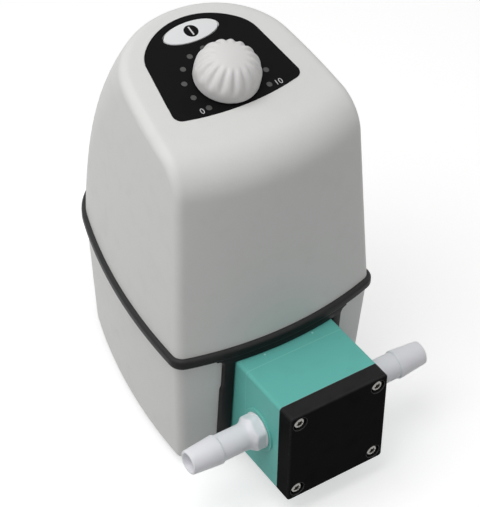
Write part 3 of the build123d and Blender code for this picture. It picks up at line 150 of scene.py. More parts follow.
# Control panel, in the roof's plane: x across, v up the slope from the dial
PANEL_T = 0.6
PANEL_PROUD = 0.2
PANEL_FRONT_V = -14.3
PANEL_FRONT_R = 120.0
PANEL_HALF = 29.8
PANEL_SIDE_SLOPE = 7.9
PANEL_TOP_V = 34.6
PANEL_TOP_R = 30.5
PANEL_CORNER_R = 3.8
PANEL_SHOULDER_R = 15.0
DOT_RING_R = 17.2
DOT_R = 1.25
DOT_COUNT = 11
DOT_START = 215.0
DOT_STEP = 25.0
DOT_DISH = 0.8
BUTTON_V = 26.6
BUTTON_A = 12.7
BUTTON_B = 5.05
BUTTON_CAP_A = 12.4
BUTTON_RIM = 0.3
BUTTON_CROWN = 0.35
BUTTON_EDGE_R = 0.25
BUTTON_LOW = -3.0
DISC_R = 3.05
BAR_HALF_L = 2.2
BAR_HALF_W = 0.33
PRINT_LIFT = 0.02
NUMBER_SIZE = 3.8
NUMBER_THINNER = -0.05
NUMBER_GAPS = (3.3, 4.1)
NUMBER_DROP = 0.5

# Flow knob, above the roof's plane
KNOB_LOW = 0.7
KNOB_H = 14.0
KNOB_R = 13.5
KNOB_SKIRT_H = 3.2
KNOB_WAIST_R = 12.3
KNOB_WAIST_H = 8.6
KNOB_TOP_R = 9.2
KNOB_DOME_H = 1.7
KNOB_SKIRT = KNOB_LOW + KNOB_SKIRT_H
KNOB_BROW = KNOB_LOW + KNOB_H - KNOB_DOME_H
KNOB_FLUTES = 16
FLUTE_DEPTH = 0.75
FLUTE_INNER_R = 5.6
KNOB_HOLLOW_R = 7.4
KNOB_HOLLOW_H = 5.0
SPINDLE_R = 3.0
SPINDLE_TOP = 13.5
SPINDLE_HOLE_R = 3.6
GROOVE_POWER = 1.4

# The photograph's viewing angle
CAMERA_AZIMUTH = radians(-34.158)
CAMERA_ELEVATION = radians(41.764)
CAMERA_ROLL = radians(1.019)
CAMERA_AIM = (4.36, 79.72, 75.11)
CAMERA_DISTANCE = 0.84167
CAMERA_LENS = 142.01
CAMERA_SENSOR = 36.0

# Studio: floor in the light and as seen, world, and area lights in metres and watts
FLOOR_LIT = (0.45, 0.45, 0.45)
FLOOR_SEEN = (0.66, 0.66, 0.66)
FLOOR_GLOW = 0.54
WORLD_LIGHT = 0.34
LIGHTS = [
    ("key", (-0.25, -0.05, 0.75), (0, 0, 0.1), 0.5, 2.8),
    ("side", (-0.95, 0.3, 0.6), (0, 0, 0.08), 0.9, 2.2),
    ("fill", (0.95, -0.2, 0.35), (0, 0, 0.08), 0.9, 1.1),
]


# Places

def place(x, y, z):
    """A point of the pump's own layout, in metres in the shared frame."""
    return Vector((x, y - MIDDLE_Y, z)) * MM


def frame_at(origin, x_dir, z_dir):
    """Matrix that takes a shape made in millimetres about the z axis to its place."""
    z_axis = Vector(z_dir).normalized()
    x_axis = Vector(x_dir).normalized()
    y_axis = z_axis.cross(x_axis)
    turn = Matrix((x_axis, y_axis, z_axis)).transposed().to_4x4()
    return Matrix.Translation(place(*origin)) @ turn @ Matrix.Scale(MM, 4)


ROOF_NORMAL = (0.0, -sin(ROOF_SLOPE), cos(ROOF_SLOPE))
LAYOUT = frame_at((0, 0, 0), (1, 0, 0), (0, 0, 1))
ROOF = frame_at((0, DIAL_Y, DIAL_Z), (1, 0, 0), ROOF_NORMAL)
HEAD_FRONT = frame_at((0, 0, HEAD_Z), (1, 0, 0), (0, -1, 0))
NOZZLES = {
    "inlet_nozzle": frame_at((0, NOZZLE_Y, HEAD_Z), (0, 0, 1), (-1, 0, 0)),
    "outlet_nozzle": frame_at((0, NOZZLE_Y, HEAD_Z), (0, 0, 1), (1, 0, 0)),
}


# Shader groups that several finishes share

def new_group(name, inputs, outputs):
    """Empty shader group with float inputs and outputs of the given kinds."""
    tree = bpy.data.node_groups.new(name, "ShaderNodeTree")
    for label, value in inputs:
        socket = tree.interface.new_socket(label, in_out="INPUT", socket_type="NodeSocketFloat")
        socket.default_value = value
    for label, kind in outputs:
        tree.interface.new_socket(label, in_out="OUTPUT", socket_type=kind)
    return tree, tree.nodes.new("NodeGroupInput"), tree.nodes.new("NodeGroupOutput")


def math_node(tree, operation, *values):
    """Math node whose inputs are sockets or plain numbers."""
    node = tree.nodes.new("ShaderNodeMath")
    node.operation = operation
    for socket, value in zip(node.inputs, values):
        if isinstance(value, (int, float)):
            socket.default_value = value
        else:
            tree.links.new(value, socket)
    return node.outputs[0]


def noise(tree, scale, detail, coordinates):
    """Noise texture with its scale given by a socket or a number."""
    node = tree.nodes.new("ShaderNodeTexNoise")
    node.inputs["Detail"].default_value = detail
    tree.links.new(coordinates, node.inputs["Vector"])
    if isinstance(scale, (int, float)):
        node.inputs["Scale"].default_value = scale
    else:
        tree.links.new(scale, node.inputs["Scale"])
    return node.outputs["Fac"]


def object_place(tree):
    """Coordinates fixed to the object."""
    return tree.nodes.new("ShaderNodeTexCoord").outputs["Object"]


def clamped(tree, value):
    """Value held between 0 and 1."""
    node = tree.nodes.new("ShaderNodeClamp")
    tree.links.new(value, node.inputs["Value"])
    return node.outputs[0]


def moulded_grain_group():
    """Fine texture of a moulded skin: small cells over softer noise, as a height."""
    noise_share = 0.45
    cell_height = 0.6
    tree, entry, leave = new_group(
        "moulded_grain", [("Cells per metre", 2500.0)], [("Height", "NodeSocketFloat")]
    )
    where = object_place(tree)
    cells = tree.nodes.new("ShaderNodeTexVoronoi")
    cells.feature = "SMOOTH_F1"
    tree.links.new(where, cells.inputs["Vector"])
    tree.links.new(entry.outputs[0], cells.inputs["Scale"])
    soft_scale = math_node(tree, "MULTIPLY", entry.outputs[0], noise_share)
    soft = noise(tree, soft_scale, 3.0, where)
    bumps = math_node(tree, "MULTIPLY", cells.outputs["Distance"], cell_height)
    tree.links.new(math_node(tree, "ADD", bumps, soft), leave.inputs[0])
    return tree


def drift_group():
    """Slow variation over a surface: one value about 1 and one mask for smudges."""
    smudge_low, smudge_high = 0.52, 0.72
    tree, entry, leave = new_group(
        "surface_drift",
        [("Patches per metre", 30.0), ("Amount", 0.05)],
        [("Factor", "NodeSocketFloat"), ("Smudge", "NodeSocketFloat")],
    )
    where = object_place(tree)
    broad = noise(tree, entry.outputs[0], 4.0, where)
    about_zero = math_node(tree, "SUBTRACT", broad, 0.5)
    swing = math_node(tree, "MULTIPLY", about_zero, entry.outputs[1])
    tree.links.new(math_node(tree, "ADD", swing, 1.0), leave.inputs[0])
    fine = noise(tree, math_node(tree, "MULTIPLY", entry.outputs[0], 4.0), 6.0, where)
    ramp = tree.nodes.new("ShaderNodeMapRange")
    ramp.inputs["From Min"].default_value = smudge_low
    ramp.inputs["From Max"].default_value = smudge_high
    tree.links.new(fine, ramp.inputs["Value"])
    tree.links.new(ramp.outputs[0], leave.inputs[1])
    return tree


def edge_wear_and_highlight_group():
    """Mask of the sharp edges, broken up by noise: partly edge wear, partly a painted highlight
    along the edges.
    """
    edge_gain = 14.0
    break_scale = 900.0
    tree, entry, leave = new_group(
        "edge_wear_and_highlight", [("Edge width", 0.0006)], [("Mask", "NodeSocketFloat")]
    )
    geometry = tree.nodes.new("ShaderNodeNewGeometry")
    bevel = tree.nodes.new("ShaderNodeBevel")
    bevel.samples = 4
    tree.links.new(entry.outputs[0], bevel.inputs["Radius"])
    dot = tree.nodes.new("ShaderNodeVectorMath")
    dot.operation = "DOT_PRODUCT"
    tree.links.new(bevel.outputs[0], dot.inputs[0])
    tree.links.new(geometry.outputs["Normal"], dot.inputs[1])
    turned = math_node(tree, "SUBTRACT", 1.0, dot.outputs["Value"])
    where = object_place(tree)
    broken = noise(tree, break_scale, 4.0, where)
    edges = math_node(tree, "MULTIPLY", turned, edge_gain)
    # Lighter tone on edges: partly wear, partly painted highlight.
    wear_and_highlight = math_node(tree, "MULTIPLY", edges, broken)
    tree.links.new(clamped(tree, wear_and_highlight), leave.inputs[0])
    return tree


def dust_and_top_sheen_group():
    """Mask of fine dust and painted sheen on surfaces that face up, broken up by noise; it lightens
    their tops.
    """
    patch_scale = 150.0
    tree, entry, leave = new_group(
        "dust_and_top_sheen", [("Amount", 1.0)], [("Mask", "NodeSocketFloat")]
    )
    geometry = tree.nodes.new("ShaderNodeNewGeometry")
    parts = tree.nodes.new("ShaderNodeSeparateXYZ")
    tree.links.new(geometry.outputs["Normal"], parts.inputs[0])
    where = object_place(tree)
    patchy = math_node(tree, "ADD", noise(tree, patch_scale, 4.0, where), 0.5)
    facing_up = math_node(tree, "MULTIPLY", parts.outputs["Z"], patchy)
    amount = math_node(tree, "MULTIPLY", facing_up, entry.outputs[0])
    tree.links.new(clamped(tree, amount), leave.inputs[0])
    return tree


GRAIN = moulded_grain_group()
DUST_AND_TOP_SHEEN = dust_and_top_sheen_group()
DRIFT = drift_group()
EDGE_WEAR_AND_HIGHLIGHT = edge_wear_and_highlight_group()


def use_group(material, group, **values):
    """Place a shared group in a material with its own values."""
    node = material.node_tree.nodes.new("ShaderNodeGroup")
    node.node_tree = group
    for label, value in values.items():
        node.inputs[label.replace("_", " ")].default_value = value
    return node


def mixed_colour(tree, factor, first, second):
    """Colour between two by a mask; the first is a socket or a plain colour."""
    node = tree.nodes.new("ShaderNodeMix")
    node.data_type = "RGBA"
    tree.links.new(factor, node.inputs["Factor"])
    if isinstance(first, tuple):
        node.inputs["A"].default_value = (*first, 1.0)
    else:
        tree.links.new(first, node.inputs["A"])
    node.inputs["B"].default_value = (*second, 1.0)
    return node.outputs["Result"]


def finish(name, colour, roughness, grain=0.0, cells=2500.0, drift=0.05, edge=None,
           metallic=0.0, smudge=0.06, dust_and_sheen=None, **shader_values):
    """Finish with drifting colour and roughness, and optional grain, dust with painted sheen on
    faces that face up, and worn edges with painted edge highlights.
    """
    material = bpy.data.materials.new(name)
    material.use_nodes = True
    tree = material.node_tree
    shader = tree.nodes["Principled BSDF"]
    shader.inputs["Metallic"].default_value = metallic
    for label, value in shader_values.items():
        shader.inputs[label.replace("_", " ")].default_value = value
    patches = use_group(material, DRIFT, Amount=drift)
    darker = tuple(channel * (1 - drift) for channel in colour)
    tone = mixed_colour(tree, patches.outputs["Smudge"], colour, darker)
    # Each mask lays a lighter tone: the up-facing one is partly dust and partly painted sheen, the
    # edge one partly wear and partly painted highlight.
    for group, over in ((DUST_AND_TOP_SHEEN, dust_and_sheen), (EDGE_WEAR_AND_HIGHLIGHT, edge)):
        if over:
            mask = use_group(material, group).outputs["Mask"]
            tone = mixed_colour(tree, mask, tone, over)
    tree.links.new(tone, shader.inputs["Base Color"])
    rough = math_node(tree, "MULTIPLY", patches.outputs["Factor"], roughness)
    smudged = math_node(tree, "MULTIPLY", patches.outputs["Smudge"], smudge)
    rough = math_node(tree, "ADD", rough, smudged)
    tree.links.new(rough, shader.inputs["Roughness"])
    if grain:
        skin = use_group(material, GRAIN, Cells_per_metre=cells)
        bump = tree.nodes.new("ShaderNodeBump")
        bump.inputs["Strength"].default_value = 1.0
        bump.inputs["Distance"].default_value = grain * MM
        tree.links.new(skin.outputs["Height"], bump.inputs["Height"])
        tree.links.new(bump.outputs["Normal"], shader.inputs["Normal"])
    return material


FINISHES = {
    "casing": finish("casing_shell", (0.70, 0.70, 0.685), 0.45, grain=0.02, cells=1800.0,
                     drift=0.02, Specular_IOR_Level=0.35),
    # The seal's up-facing tone is a painted highlight on the top of the bead, over a little dust.
    "seal_black": finish("seal_black", (0.011, 0.011, 0.011), 0.42, grain=0.01, drift=0.15,
                         dust_and_sheen=(0.035, 0.035, 0.035), Specular_IOR_Level=0.12),
    "foot_rubber": finish("foot_rubber", (0.02, 0.02, 0.02), 0.75, grain=0.03, drift=0.2),
    "screw_steel": finish("screw_steel", (0.3, 0.29, 0.275), 0.2, drift=0.1, metallic=1.0),
    # The plate's up-facing tone lightens its top as painted light from above. Its edge tone is
    # partly wear and partly a painted edge highlight.
    "plate_black": finish("plate_black", (0.005, 0.005, 0.0051), 0.5, grain=0.012, cells=3000.0,
                          drift=0.15, edge=(0.14, 0.14, 0.143), dust_and_sheen=(0.026, 0.026, 0.026),
                          Specular_IOR_Level=0.01),
    # The head's lighter edge tone is a painted highlight along its rounded edges.
    "head_green": finish("head_green", (0.135, 0.487, 0.435), 0.42, grain=0.006, drift=0.04,
                         edge=(0.22, 0.58, 0.52), Specular_IOR_Level=0.15),
    "valve_white": finish("valve_white", (0.78, 0.78, 0.76), 0.45, grain=0.005),
    "valve_rubber": finish("valve_rubber", (0.03, 0.03, 0.03), 0.6, grain=0.01, drift=0.2),
    "nozzle_milky": finish("nozzle_milky", (0.85, 0.85, 0.89), 0.38, drift=0.02,
                           Subsurface_Weight=0.5, Subsurface_Scale=0.002,
                           Subsurface_Radius=(1.0, 1.0, 1.0), Specular_IOR_Level=0.4),
    "diaphragm_rubber": finish("diaphragm_rubber", (0.03, 0.03, 0.03), 0.55, grain=0.01),
    "alloy": finish("alloy", (0.66, 0.66, 0.67), 0.38, drift=0.1, metallic=1.0),
    "bearing_steel": finish("bearing_steel", (0.62, 0.62, 0.62), 0.16, drift=0.1, metallic=1.0),
    "can_steel": finish("can_steel", (0.5, 0.5, 0.5), 0.36, drift=0.12, metallic=1.0),
    "magnet": finish("magnet", (0.05, 0.05, 0.052), 0.55, grain=0.01, drift=0.15),
    "core_steel": finish("core_steel", (0.3, 0.3, 0.3), 0.4, drift=0.1, metallic=1.0),
    "copper": finish("copper", (0.72, 0.32, 0.15), 0.32, grain=0.02, cells=1200.0, metallic=1.0),
    "carbon": finish("carbon", (0.02, 0.02, 0.02), 0.6, grain=0.01),
    "insulator": finish("insulator", (0.16, 0.06, 0.025), 0.45, grain=0.01),
    "panel_black": finish("panel_black", (0.005, 0.005, 0.0054), 0.5, grain=0.008, cells=4000.0,
                          drift=0.12, Specular_IOR_Level=0.05),
    "lens_grey": finish("lens_grey", (0.06, 0.06, 0.058), 0.22, drift=0.1),
    "lamp": finish("lamp", (0.8, 0.75, 0.45), 0.3),
    "knob_white": finish("knob_white", (0.68, 0.67, 0.665), 0.5, grain=0.006, cells=3000.0,
                         drift=0.02, Specular_IOR_Level=0.3),
    "button_white": finish("button_white", (0.74, 0.75, 0.755), 0.45, grain=0.004, drift=0.02,
                           Specular_IOR_Level=0.3),
    "component_black": finish("component_black", (0.02, 0.02, 0.02), 0.4, grain=0.01),
    "board_green": finish("board_green", (0.02, 0.14, 0.06), 0.3, grain=0.004, drift=0.1),
    "transformer_iron": finish("transformer_iron", (0.12, 0.11, 0.1), 0.45, grain=0.02, drift=0.15),
    "gland_black": finish("gland_black", (0.015, 0.015, 0.016), 0.42, grain=0.01, drift=0.15),
}
PRINT_WHITE = finish("print_white", (0.62, 0.62, 0.62), 0.6)
# A paler copy of the head's green: painted highlight on the pips.
PIP_PAINTED_HIGHLIGHT = finish("pip_painted_highlight", (0.3, 0.62, 0.56), 0.4)
for node_name, cad_object in NODES.items():
    cad_object.data.materials.clear()
    cad_object.data.materials.append(FINISHES[SLOT_OF[node_name]])


# Pieces

def add_object(name, data):
    """Object in the scene that shows the data."""
    made = bpy.data.objects.new(name, data)
    bpy.context.scene.collection.objects.link(made)
    return made


def close_holes(bm):
    """Close every open ring with a flat face."""
    bmesh.ops.holes_fill(bm, edges=[e for e in bm.edges if e.is_boundary], sides=0)


def keep_piece(bm, name, body, slot, nodes=(), matrix=LAYOUT, sharp=32.0, material=None):
    """Turn a bmesh into a finished piece on its body, in its slot's finish or another."""
    bmesh.ops.remove_doubles(bm, verts=bm.verts, dist=0.0005)
    bmesh.ops.recalc_face_normals(bm, faces=bm.faces)
    for face in bm.faces:
        face.smooth = True
    for edge in bm.edges:
        if len(edge.link_faces) == 2:
            edge.smooth = edge.calc_face_angle(0.0) < radians(sharp)
    mesh = bpy.data.meshes.new(name)
    bm.transform(matrix)
    bm.to_mesh(mesh)
    bm.free()
    mesh.materials.append(material or FINISHES[slot])
    piece = add_object(name, mesh)
    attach(piece, body)
    if nodes:
        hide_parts(*nodes)
    return piece


def add_modifier(piece, kind, **settings):
    """Modifier with its settings."""
    modifier = piece.modifiers.new(kind.lower(), kind)
    for label, value in settings.items():
        setattr(modifier, label, value)
    return modifier


# Casing form. A gap is the signed distance from one of its faces, negative inside.

def outline_at(z):
    """Arcs of the casing's plan at a height: front circle, side circle and rear circle."""
    rise = np.abs(z - SEAM_Z)
    above = z > SEAM_Z
    side, front, back = [
        rise * np.where(above, tan(radians(up)), tan(radians(down)))
        for up, down in zip(UPPER_LEANS, LOWER_LEANS)
    ]
    curve = REAR_CURVE * (rise / (CROWN_Z - SEAM_Z)) ** 2
    corner_x = SEAM_HALF_WIDTH - side
    corner_y = SEAM_CORNER_Y + front
    rear_y = SEAM_REAR_Y - back - np.where(above, curve, 0.0)
    front_r = (corner_x**2 + FRONT_BOW**2) / (2 * FRONT_BOW)
    side_x = corner_x - np.sqrt(SIDE_R**2 - (WIDEST_Y - corner_y) ** 2)
    reach_x = REAR_FLAT - side_x
    reach_y = rear_y - WIDEST_Y
    rear_r = (SIDE_R**2 - reach_x**2 - reach_y**2) / (2 * (SIDE_R - reach_y))
    return corner_x, corner_y, front_r, side_x, rear_y, rear_r


def front_gap(p):
    """Gap of the bowed front."""
    _, corner_y, front_r = outline_at(p[:, 2])[:3]
    return np.hypot(p[:, 0], p[:, 1] - (corner_y - FRONT_BOW + front_r)) - front_r


def flank_gap(p):
    """Gap of the flank and the rear, mirrored about the middle."""
    side_x, rear_y, rear_r = outline_at(p[:, 2])[3:]
    x = np.abs(p[:, 0])
    rear_centre_y = rear_y - rear_r
    along_x = REAR_FLAT - side_x
    along_y = rear_centre_y - WIDEST_Y
    beyond = along_x * (p[:, 1] - WIDEST_Y) - along_y * (x - side_x) > 0
    side = np.hypot(x - side_x, p[:, 1] - WIDEST_Y) - SIDE_R
    rear = np.hypot(np.maximum(x - REAR_FLAT, 0.0), p[:, 1] - rear_centre_y) - rear_r
    return np.where(beyond, rear, side)


def roof_gap(p):
    """Gap of the sloping roof."""
    return (p[:, 2] - DIAL_Z) * cos(ROOF_SLOPE) - (p[:, 1] - DIAL_Y) * sin(ROOF_SLOPE)


def base_gap(p):
    """Gap of the flat base."""
    return BASE_Z - p[:, 2]


def slope_of(gap, p):
    """Value and gradient of a gap."""
    step = 0.01
    columns = []
    for axis in range(3):
        shift = np.zeros(3)
        shift[axis] = step
        columns.append((gap(p + shift) - gap(p - shift)) / (2 * step))
    return gap(p), np.stack(columns, axis=1)


def rounded(first, second, radius):
    """Gap of the solid inside both, with its edge rounded by a rolling ball."""
    def gap(p):
        a, slope_a = slope_of(first, p)
        b, slope_b = slope_of(second, p)
        slope_a /= np.linalg.norm(slope_a, axis=1)[:, None]
        slope_b /= np.linalg.norm(slope_b, axis=1)[:, None]
        lean = np.clip((slope_a * slope_b).sum(axis=1), -0.95, 0.95)
        a_in = a + radius
        b_in = b + radius
        square = np.maximum(a_in**2 + b_in**2 - 2 * a_in * b_in * lean, 1e-9)
        reach = np.sqrt(square / (1 - lean**2))
        turned = (a_in - b_in * lean > 0) & (b_in - a_in * lean > 0)
        return np.where(turned, reach - radius, np.maximum(a, b))
    return gap


def settled(p, gap, rounds=10):
    """Move points onto the face where the gap is zero, along its slope."""
    for _ in range(rounds):
        value, slope = slope_of(gap, p)
        p = p - slope * (value / np.maximum((slope**2).sum(axis=1), 0.05))[:, None]
    return p


def settled_rings(rings, gap):
    """Move several rings onto a face at once."""
    return np.split(settled(np.concatenate(rings), gap), len(rings))


FRONT_SHEET = rounded(front_gap, roof_gap, SHOULDER_R)
UPPER_FORM = rounded(FRONT_SHEET, flank_gap, CORNER_R)
PLAN_FORM = rounded(front_gap, flank_gap, CORNER_R)
LOWER_FORM = rounded(PLAN_FORM, base_gap, BASE_EDGE_R)


def plan_point(share, z):
    """Sharp-cornered outline at height z, share 0 to 1 from the front's middle to the rear's."""
    z = z + np.zeros(len(share))
    corner_x, corner_y, front_r, side_x, rear_y, rear_r = outline_at(z)
    flank_part = 0.72
    arc_part = 0.94
    front_share = np.clip(share / FRONT_PART, 0, 1)
    x_front = corner_x * np.sin(front_share * pi / 2)
    y_front = corner_y - FRONT_BOW + front_r - np.sqrt(front_r**2 - x_front**2)
    rear_centre_y = rear_y - rear_r
    meet_turn = np.arctan2(rear_centre_y - WIDEST_Y, REAR_FLAT - side_x)
    corner_turn = np.arcsin((corner_y - WIDEST_Y) / SIDE_R)
    flank_share = np.clip((share - FRONT_PART) / (flank_part - FRONT_PART), 0, 1)
    turn = corner_turn + (meet_turn - corner_turn) * flank_share**1.6
    x_flank = side_x + SIDE_R * np.cos(turn)
    y_flank = WIDEST_Y + SIDE_R * np.sin(turn)
    rear_share = np.clip((share - flank_part) / (1 - flank_part), 0, 1)
    rear_turn = meet_turn + (pi / 2 - meet_turn) * np.minimum(rear_share / arc_part, 1)
    slide = 1 - np.clip((rear_share - arc_part) / (1 - arc_part), 0, 1)
    x_rear = REAR_FLAT * slide + rear_r * np.cos(rear_turn)
    y_rear = rear_centre_y + rear_r * np.sin(rear_turn)
    parts = [share <= FRONT_PART, share <= flank_part]
    x = np.select(parts, [x_front, x_flank], x_rear)
    y = np.select(parts, [y_front, y_flank], y_rear)
    return np.stack([x, y, z], axis=1)


def ring_shares():
    """Shares of the right half of a ring, from front to rear, both middles included."""
    return np.linspace(0, 1, RING_HALF + 1)


def whole_ring(half):
    """Mirror the right half of a ring to a closed one that starts at the front's middle."""
    other = half[-2:0:-1] * np.array([-1.0, 1.0, 1.0])
    return np.concatenate([half, other])


def first_ring(bm, points):
    """Closed ring of edges through the points."""
    made = bmesh.ops.create_circle(bm, cap_ends=False, segments=len(points), radius=1.0)
    for vert, point in zip(made["verts"], points):
        vert.co = point
    return made["verts"]


def open_edges(rings):
    """Edges at the rings' points that bound no face or one, in the order of the points."""
    touching = dict.fromkeys(e for ring in rings for v in ring for e in v.link_edges)
    return [e for e in touching if e.is_boundary or e.is_wire]


def next_ring(bm, ring, points):
    """Extrude the last ring to new points and return the new ring."""
    members = set(ring)
    edges = [e for e in open_edges([ring]) if e.verts[0] in members and e.verts[1] in members]
    made = bmesh.ops.extrude_edge_only(bm, edges=edges)
    fresh = {v for v in made["geom"] if isinstance(v, bmesh.types.BMVert)}
    ordered = []
    for vert, point in zip(ring, points):
        new = next(e.other_vert(vert) for e in vert.link_edges if e.other_vert(vert) in fresh)
        ordered.append(new)
        new.co = point
    return ordered


def loft_rings(bm, rings):
    """Skin through a list of rings with the same number of points."""
    ring = first_ring(bm, rings[0])
    for points in rings[1:]:
        ring = next_ring(bm, ring, points)
    return ring


def panel_gap(q, grow=0.0):
    """Signed distance of points in the roof's plane from the panel's outline."""
    p = np.stack([np.abs(q[:, 0]), q[:, 1], np.zeros(len(q))], axis=1)
    corner_v = PANEL_FRONT_V + PANEL_HALF**2 / (2 * PANEL_FRONT_R)
    lean = radians(PANEL_SIDE_SLOPE)

    def low(p):
        return np.hypot(p[:, 0], p[:, 1] - PANEL_FRONT_V - PANEL_FRONT_R) - PANEL_FRONT_R

    def side(p):
        return (p[:, 0] - PANEL_HALF) * cos(lean) + (p[:, 1] - corner_v) * sin(lean)

    def top(p):
        return np.hypot(p[:, 0], p[:, 1] - PANEL_TOP_V + PANEL_TOP_R) - PANEL_TOP_R

    shape = rounded(rounded(low, side, PANEL_CORNER_R), top, PANEL_SHOULDER_R)
    return shape(p) - grow


def panel_ring(towards, grow=0.0):
    """Points of the panel's outline on rays from its middle towards other points."""
    middle = np.array([0.0, 8.0])
    ray = towards - middle
    low = np.zeros(len(ray))
    high = np.ones(len(ray))
    for _ in range(30):
        mid = (low + high) / 2
        inside = panel_gap(middle + ray * mid[:, None], grow) < 0
        low = np.where(inside, mid, low)
        high = np.where(inside, high, mid)
    return middle + ray * low[:, None]


def roof_to_layout(q, lift=0.0):
    """Points of the roof's plane in the pump's layout."""
    x, v = q[:, 0], q[:, 1]
    y = DIAL_Y + v * cos(ROOF_SLOPE) - lift * sin(ROOF_SLOPE)
    z = DIAL_Z + v * sin(ROOF_SLOPE) + lift * cos(ROOF_SLOPE)
    return np.stack([x, y, z], axis=1)


def layout_to_roof(p):
    """Points of the pump's layout seen along the upright, in the roof's plane."""
    return np.stack([p[:, 0], (p[:, 1] - DIAL_Y) / cos(ROOF_SLOPE)], axis=1)


def ridge_points(shares):
    """Where the sharp wall meets the roof's plane."""
    z = np.full(len(shares), DIAL_Z)
    for _ in range(12):
        y = plan_point(shares, z)[:, 1]
        z = DIAL_Z + (y - DIAL_Y) * tan(ROOF_SLOPE)
    return plan_point(shares, z)


def fill_with_holes(bm, loops):
    """Flat face between an outer loop and the holes in it."""
    bmesh.ops.triangle_fill(bm, use_beauty=True, edges=open_edges(loops))


def whole_turn(count):
    """Angles of equal steps round a circle."""
    return np.linspace(0, 2 * pi, count, endpoint=False)


def quarter_turn(count):
    """Angles from 0 to a quarter turn."""
    return np.linspace(0, pi / 2, count)


def circle_points(radius, count, centre=(0.0, 0.0)):
    """Points of a flat circle."""
    turns = whole_turn(count)
    x = centre[0] + radius * np.cos(turns)
    y = centre[1] + radius * np.sin(turns)
    return np.stack([x, y], axis=1)


def ring_at(radius, turns, height):
    """Ring about the z axis, whose radius and height may change round it."""
    level = height + np.zeros(len(turns))
    return np.stack([radius * np.cos(turns), radius * np.sin(turns), level], axis=1)


def oval_points(grow):
    """Outline of the button's opening in the roof's plane."""
    turns = whole_turn(72)
    x = (BUTTON_A + grow) * np.cos(turns)
    v = BUTTON_V + (BUTTON_B + grow) * np.sin(turns)
    return np.stack([x, v], axis=1)


DOT_TURNS = [radians(DOT_START - DOT_STEP * n) for n in range(DOT_COUNT)]
DOTS = [(DOT_RING_R * cos(turn), DOT_RING_R * sin(turn)) for turn in DOT_TURNS]


def upper_casing():
    """Upper shell: lofted wall, shoulder and roof, with the panel's recess and its holes."""
    shares = ring_shares()
    low_z = SEAM_Z + BEAD_H / 2 - SEAM_OVERLAP
    half_rings = seam_seat(low_z)
    ridge = ridge_points(shares)
    wall_rise = ridge[:, 2] - low_z
    flank_reach, front_reach, fade_part = 9, 24, 0.16
    front_share = np.clip(1 - (shares - FRONT_PART) / fade_part, 0, 1)
    reach = flank_reach + (front_reach - flank_reach) * front_share
    for part in np.linspace(0, 1, 15):
        z = low_z + (wall_rise - reach) * part
        half_rings.append(plan_point(shares, z))
    for part in np.linspace(0, 1, 15)[1:]:
        z = low_z + wall_rise - reach * (1 - part)
        half_rings.append(plan_point(shares, z))
    recess = roof_to_layout(panel_ring(layout_to_roof(ridge), 0.1))
    for part in np.linspace(0, 1, 17)[1:-1]:
        half_rings.append(ridge + (recess - ridge) * part)
    half_rings = half_rings[:2] + settled_rings(half_rings[2:], UPPER_FORM)
    floor_lift = PANEL_PROUD - PANEL_T
    half_rings.append(recess)
    half_rings.append(roof_to_layout(layout_to_roof(recess), floor_lift))
    bm = bmesh.new()
    inner = loft_rings(bm, [whole_ring(half) for half in half_rings])
    holes = [circle_points(DOT_R + 0.05, 20, dot) for dot in DOTS]
    holes += [circle_points(SPINDLE_HOLE_R, 36), oval_points(0.3)]
    loops = [inner] + [first_ring(bm, roof_to_layout(hole, floor_lift)) for hole in holes]
    fill_with_holes(bm, loops)
    shell = keep_piece(bm, "upper_shell", "housing", "casing", ["upper_housing"])
    add_modifier(shell, "SOLIDIFY", thickness=SHELL_T * MM, offset=-1.0, use_even_offset=True)


def level_line(z):
    """Half ring of the casing's plan at a height, and the level directions away from it."""
    line = settled(plan_point(ring_shares(), z), PLAN_FORM)
    _, outward = slope_of(PLAN_FORM, line)
    outward[:, 2] = 0.0
    return line, outward


def seam_seat(edge_z):
    """Half rings of a shell's inset edge, from inside the seal to the seal's edge."""
    seam, outward = level_line(SEAM_Z)
    inset = seam - outward * SEAL_SEAT
    return [inset, inset + np.array([0.0, 0.0, edge_z - SEAM_Z])]


def well(bm, x, y, steps):
    """Stepped round hole, as (radius, height) pairs from the outside in; returns its mouth."""
    rings = [ring + (x, y, 0.0) for ring in spun_rings(steps, 32)]
    mouth = first_ring(bm, rings[0])
    ring = mouth
    for points in rings[1:]:
        ring = next_ring(bm, ring, points)
    return mouth


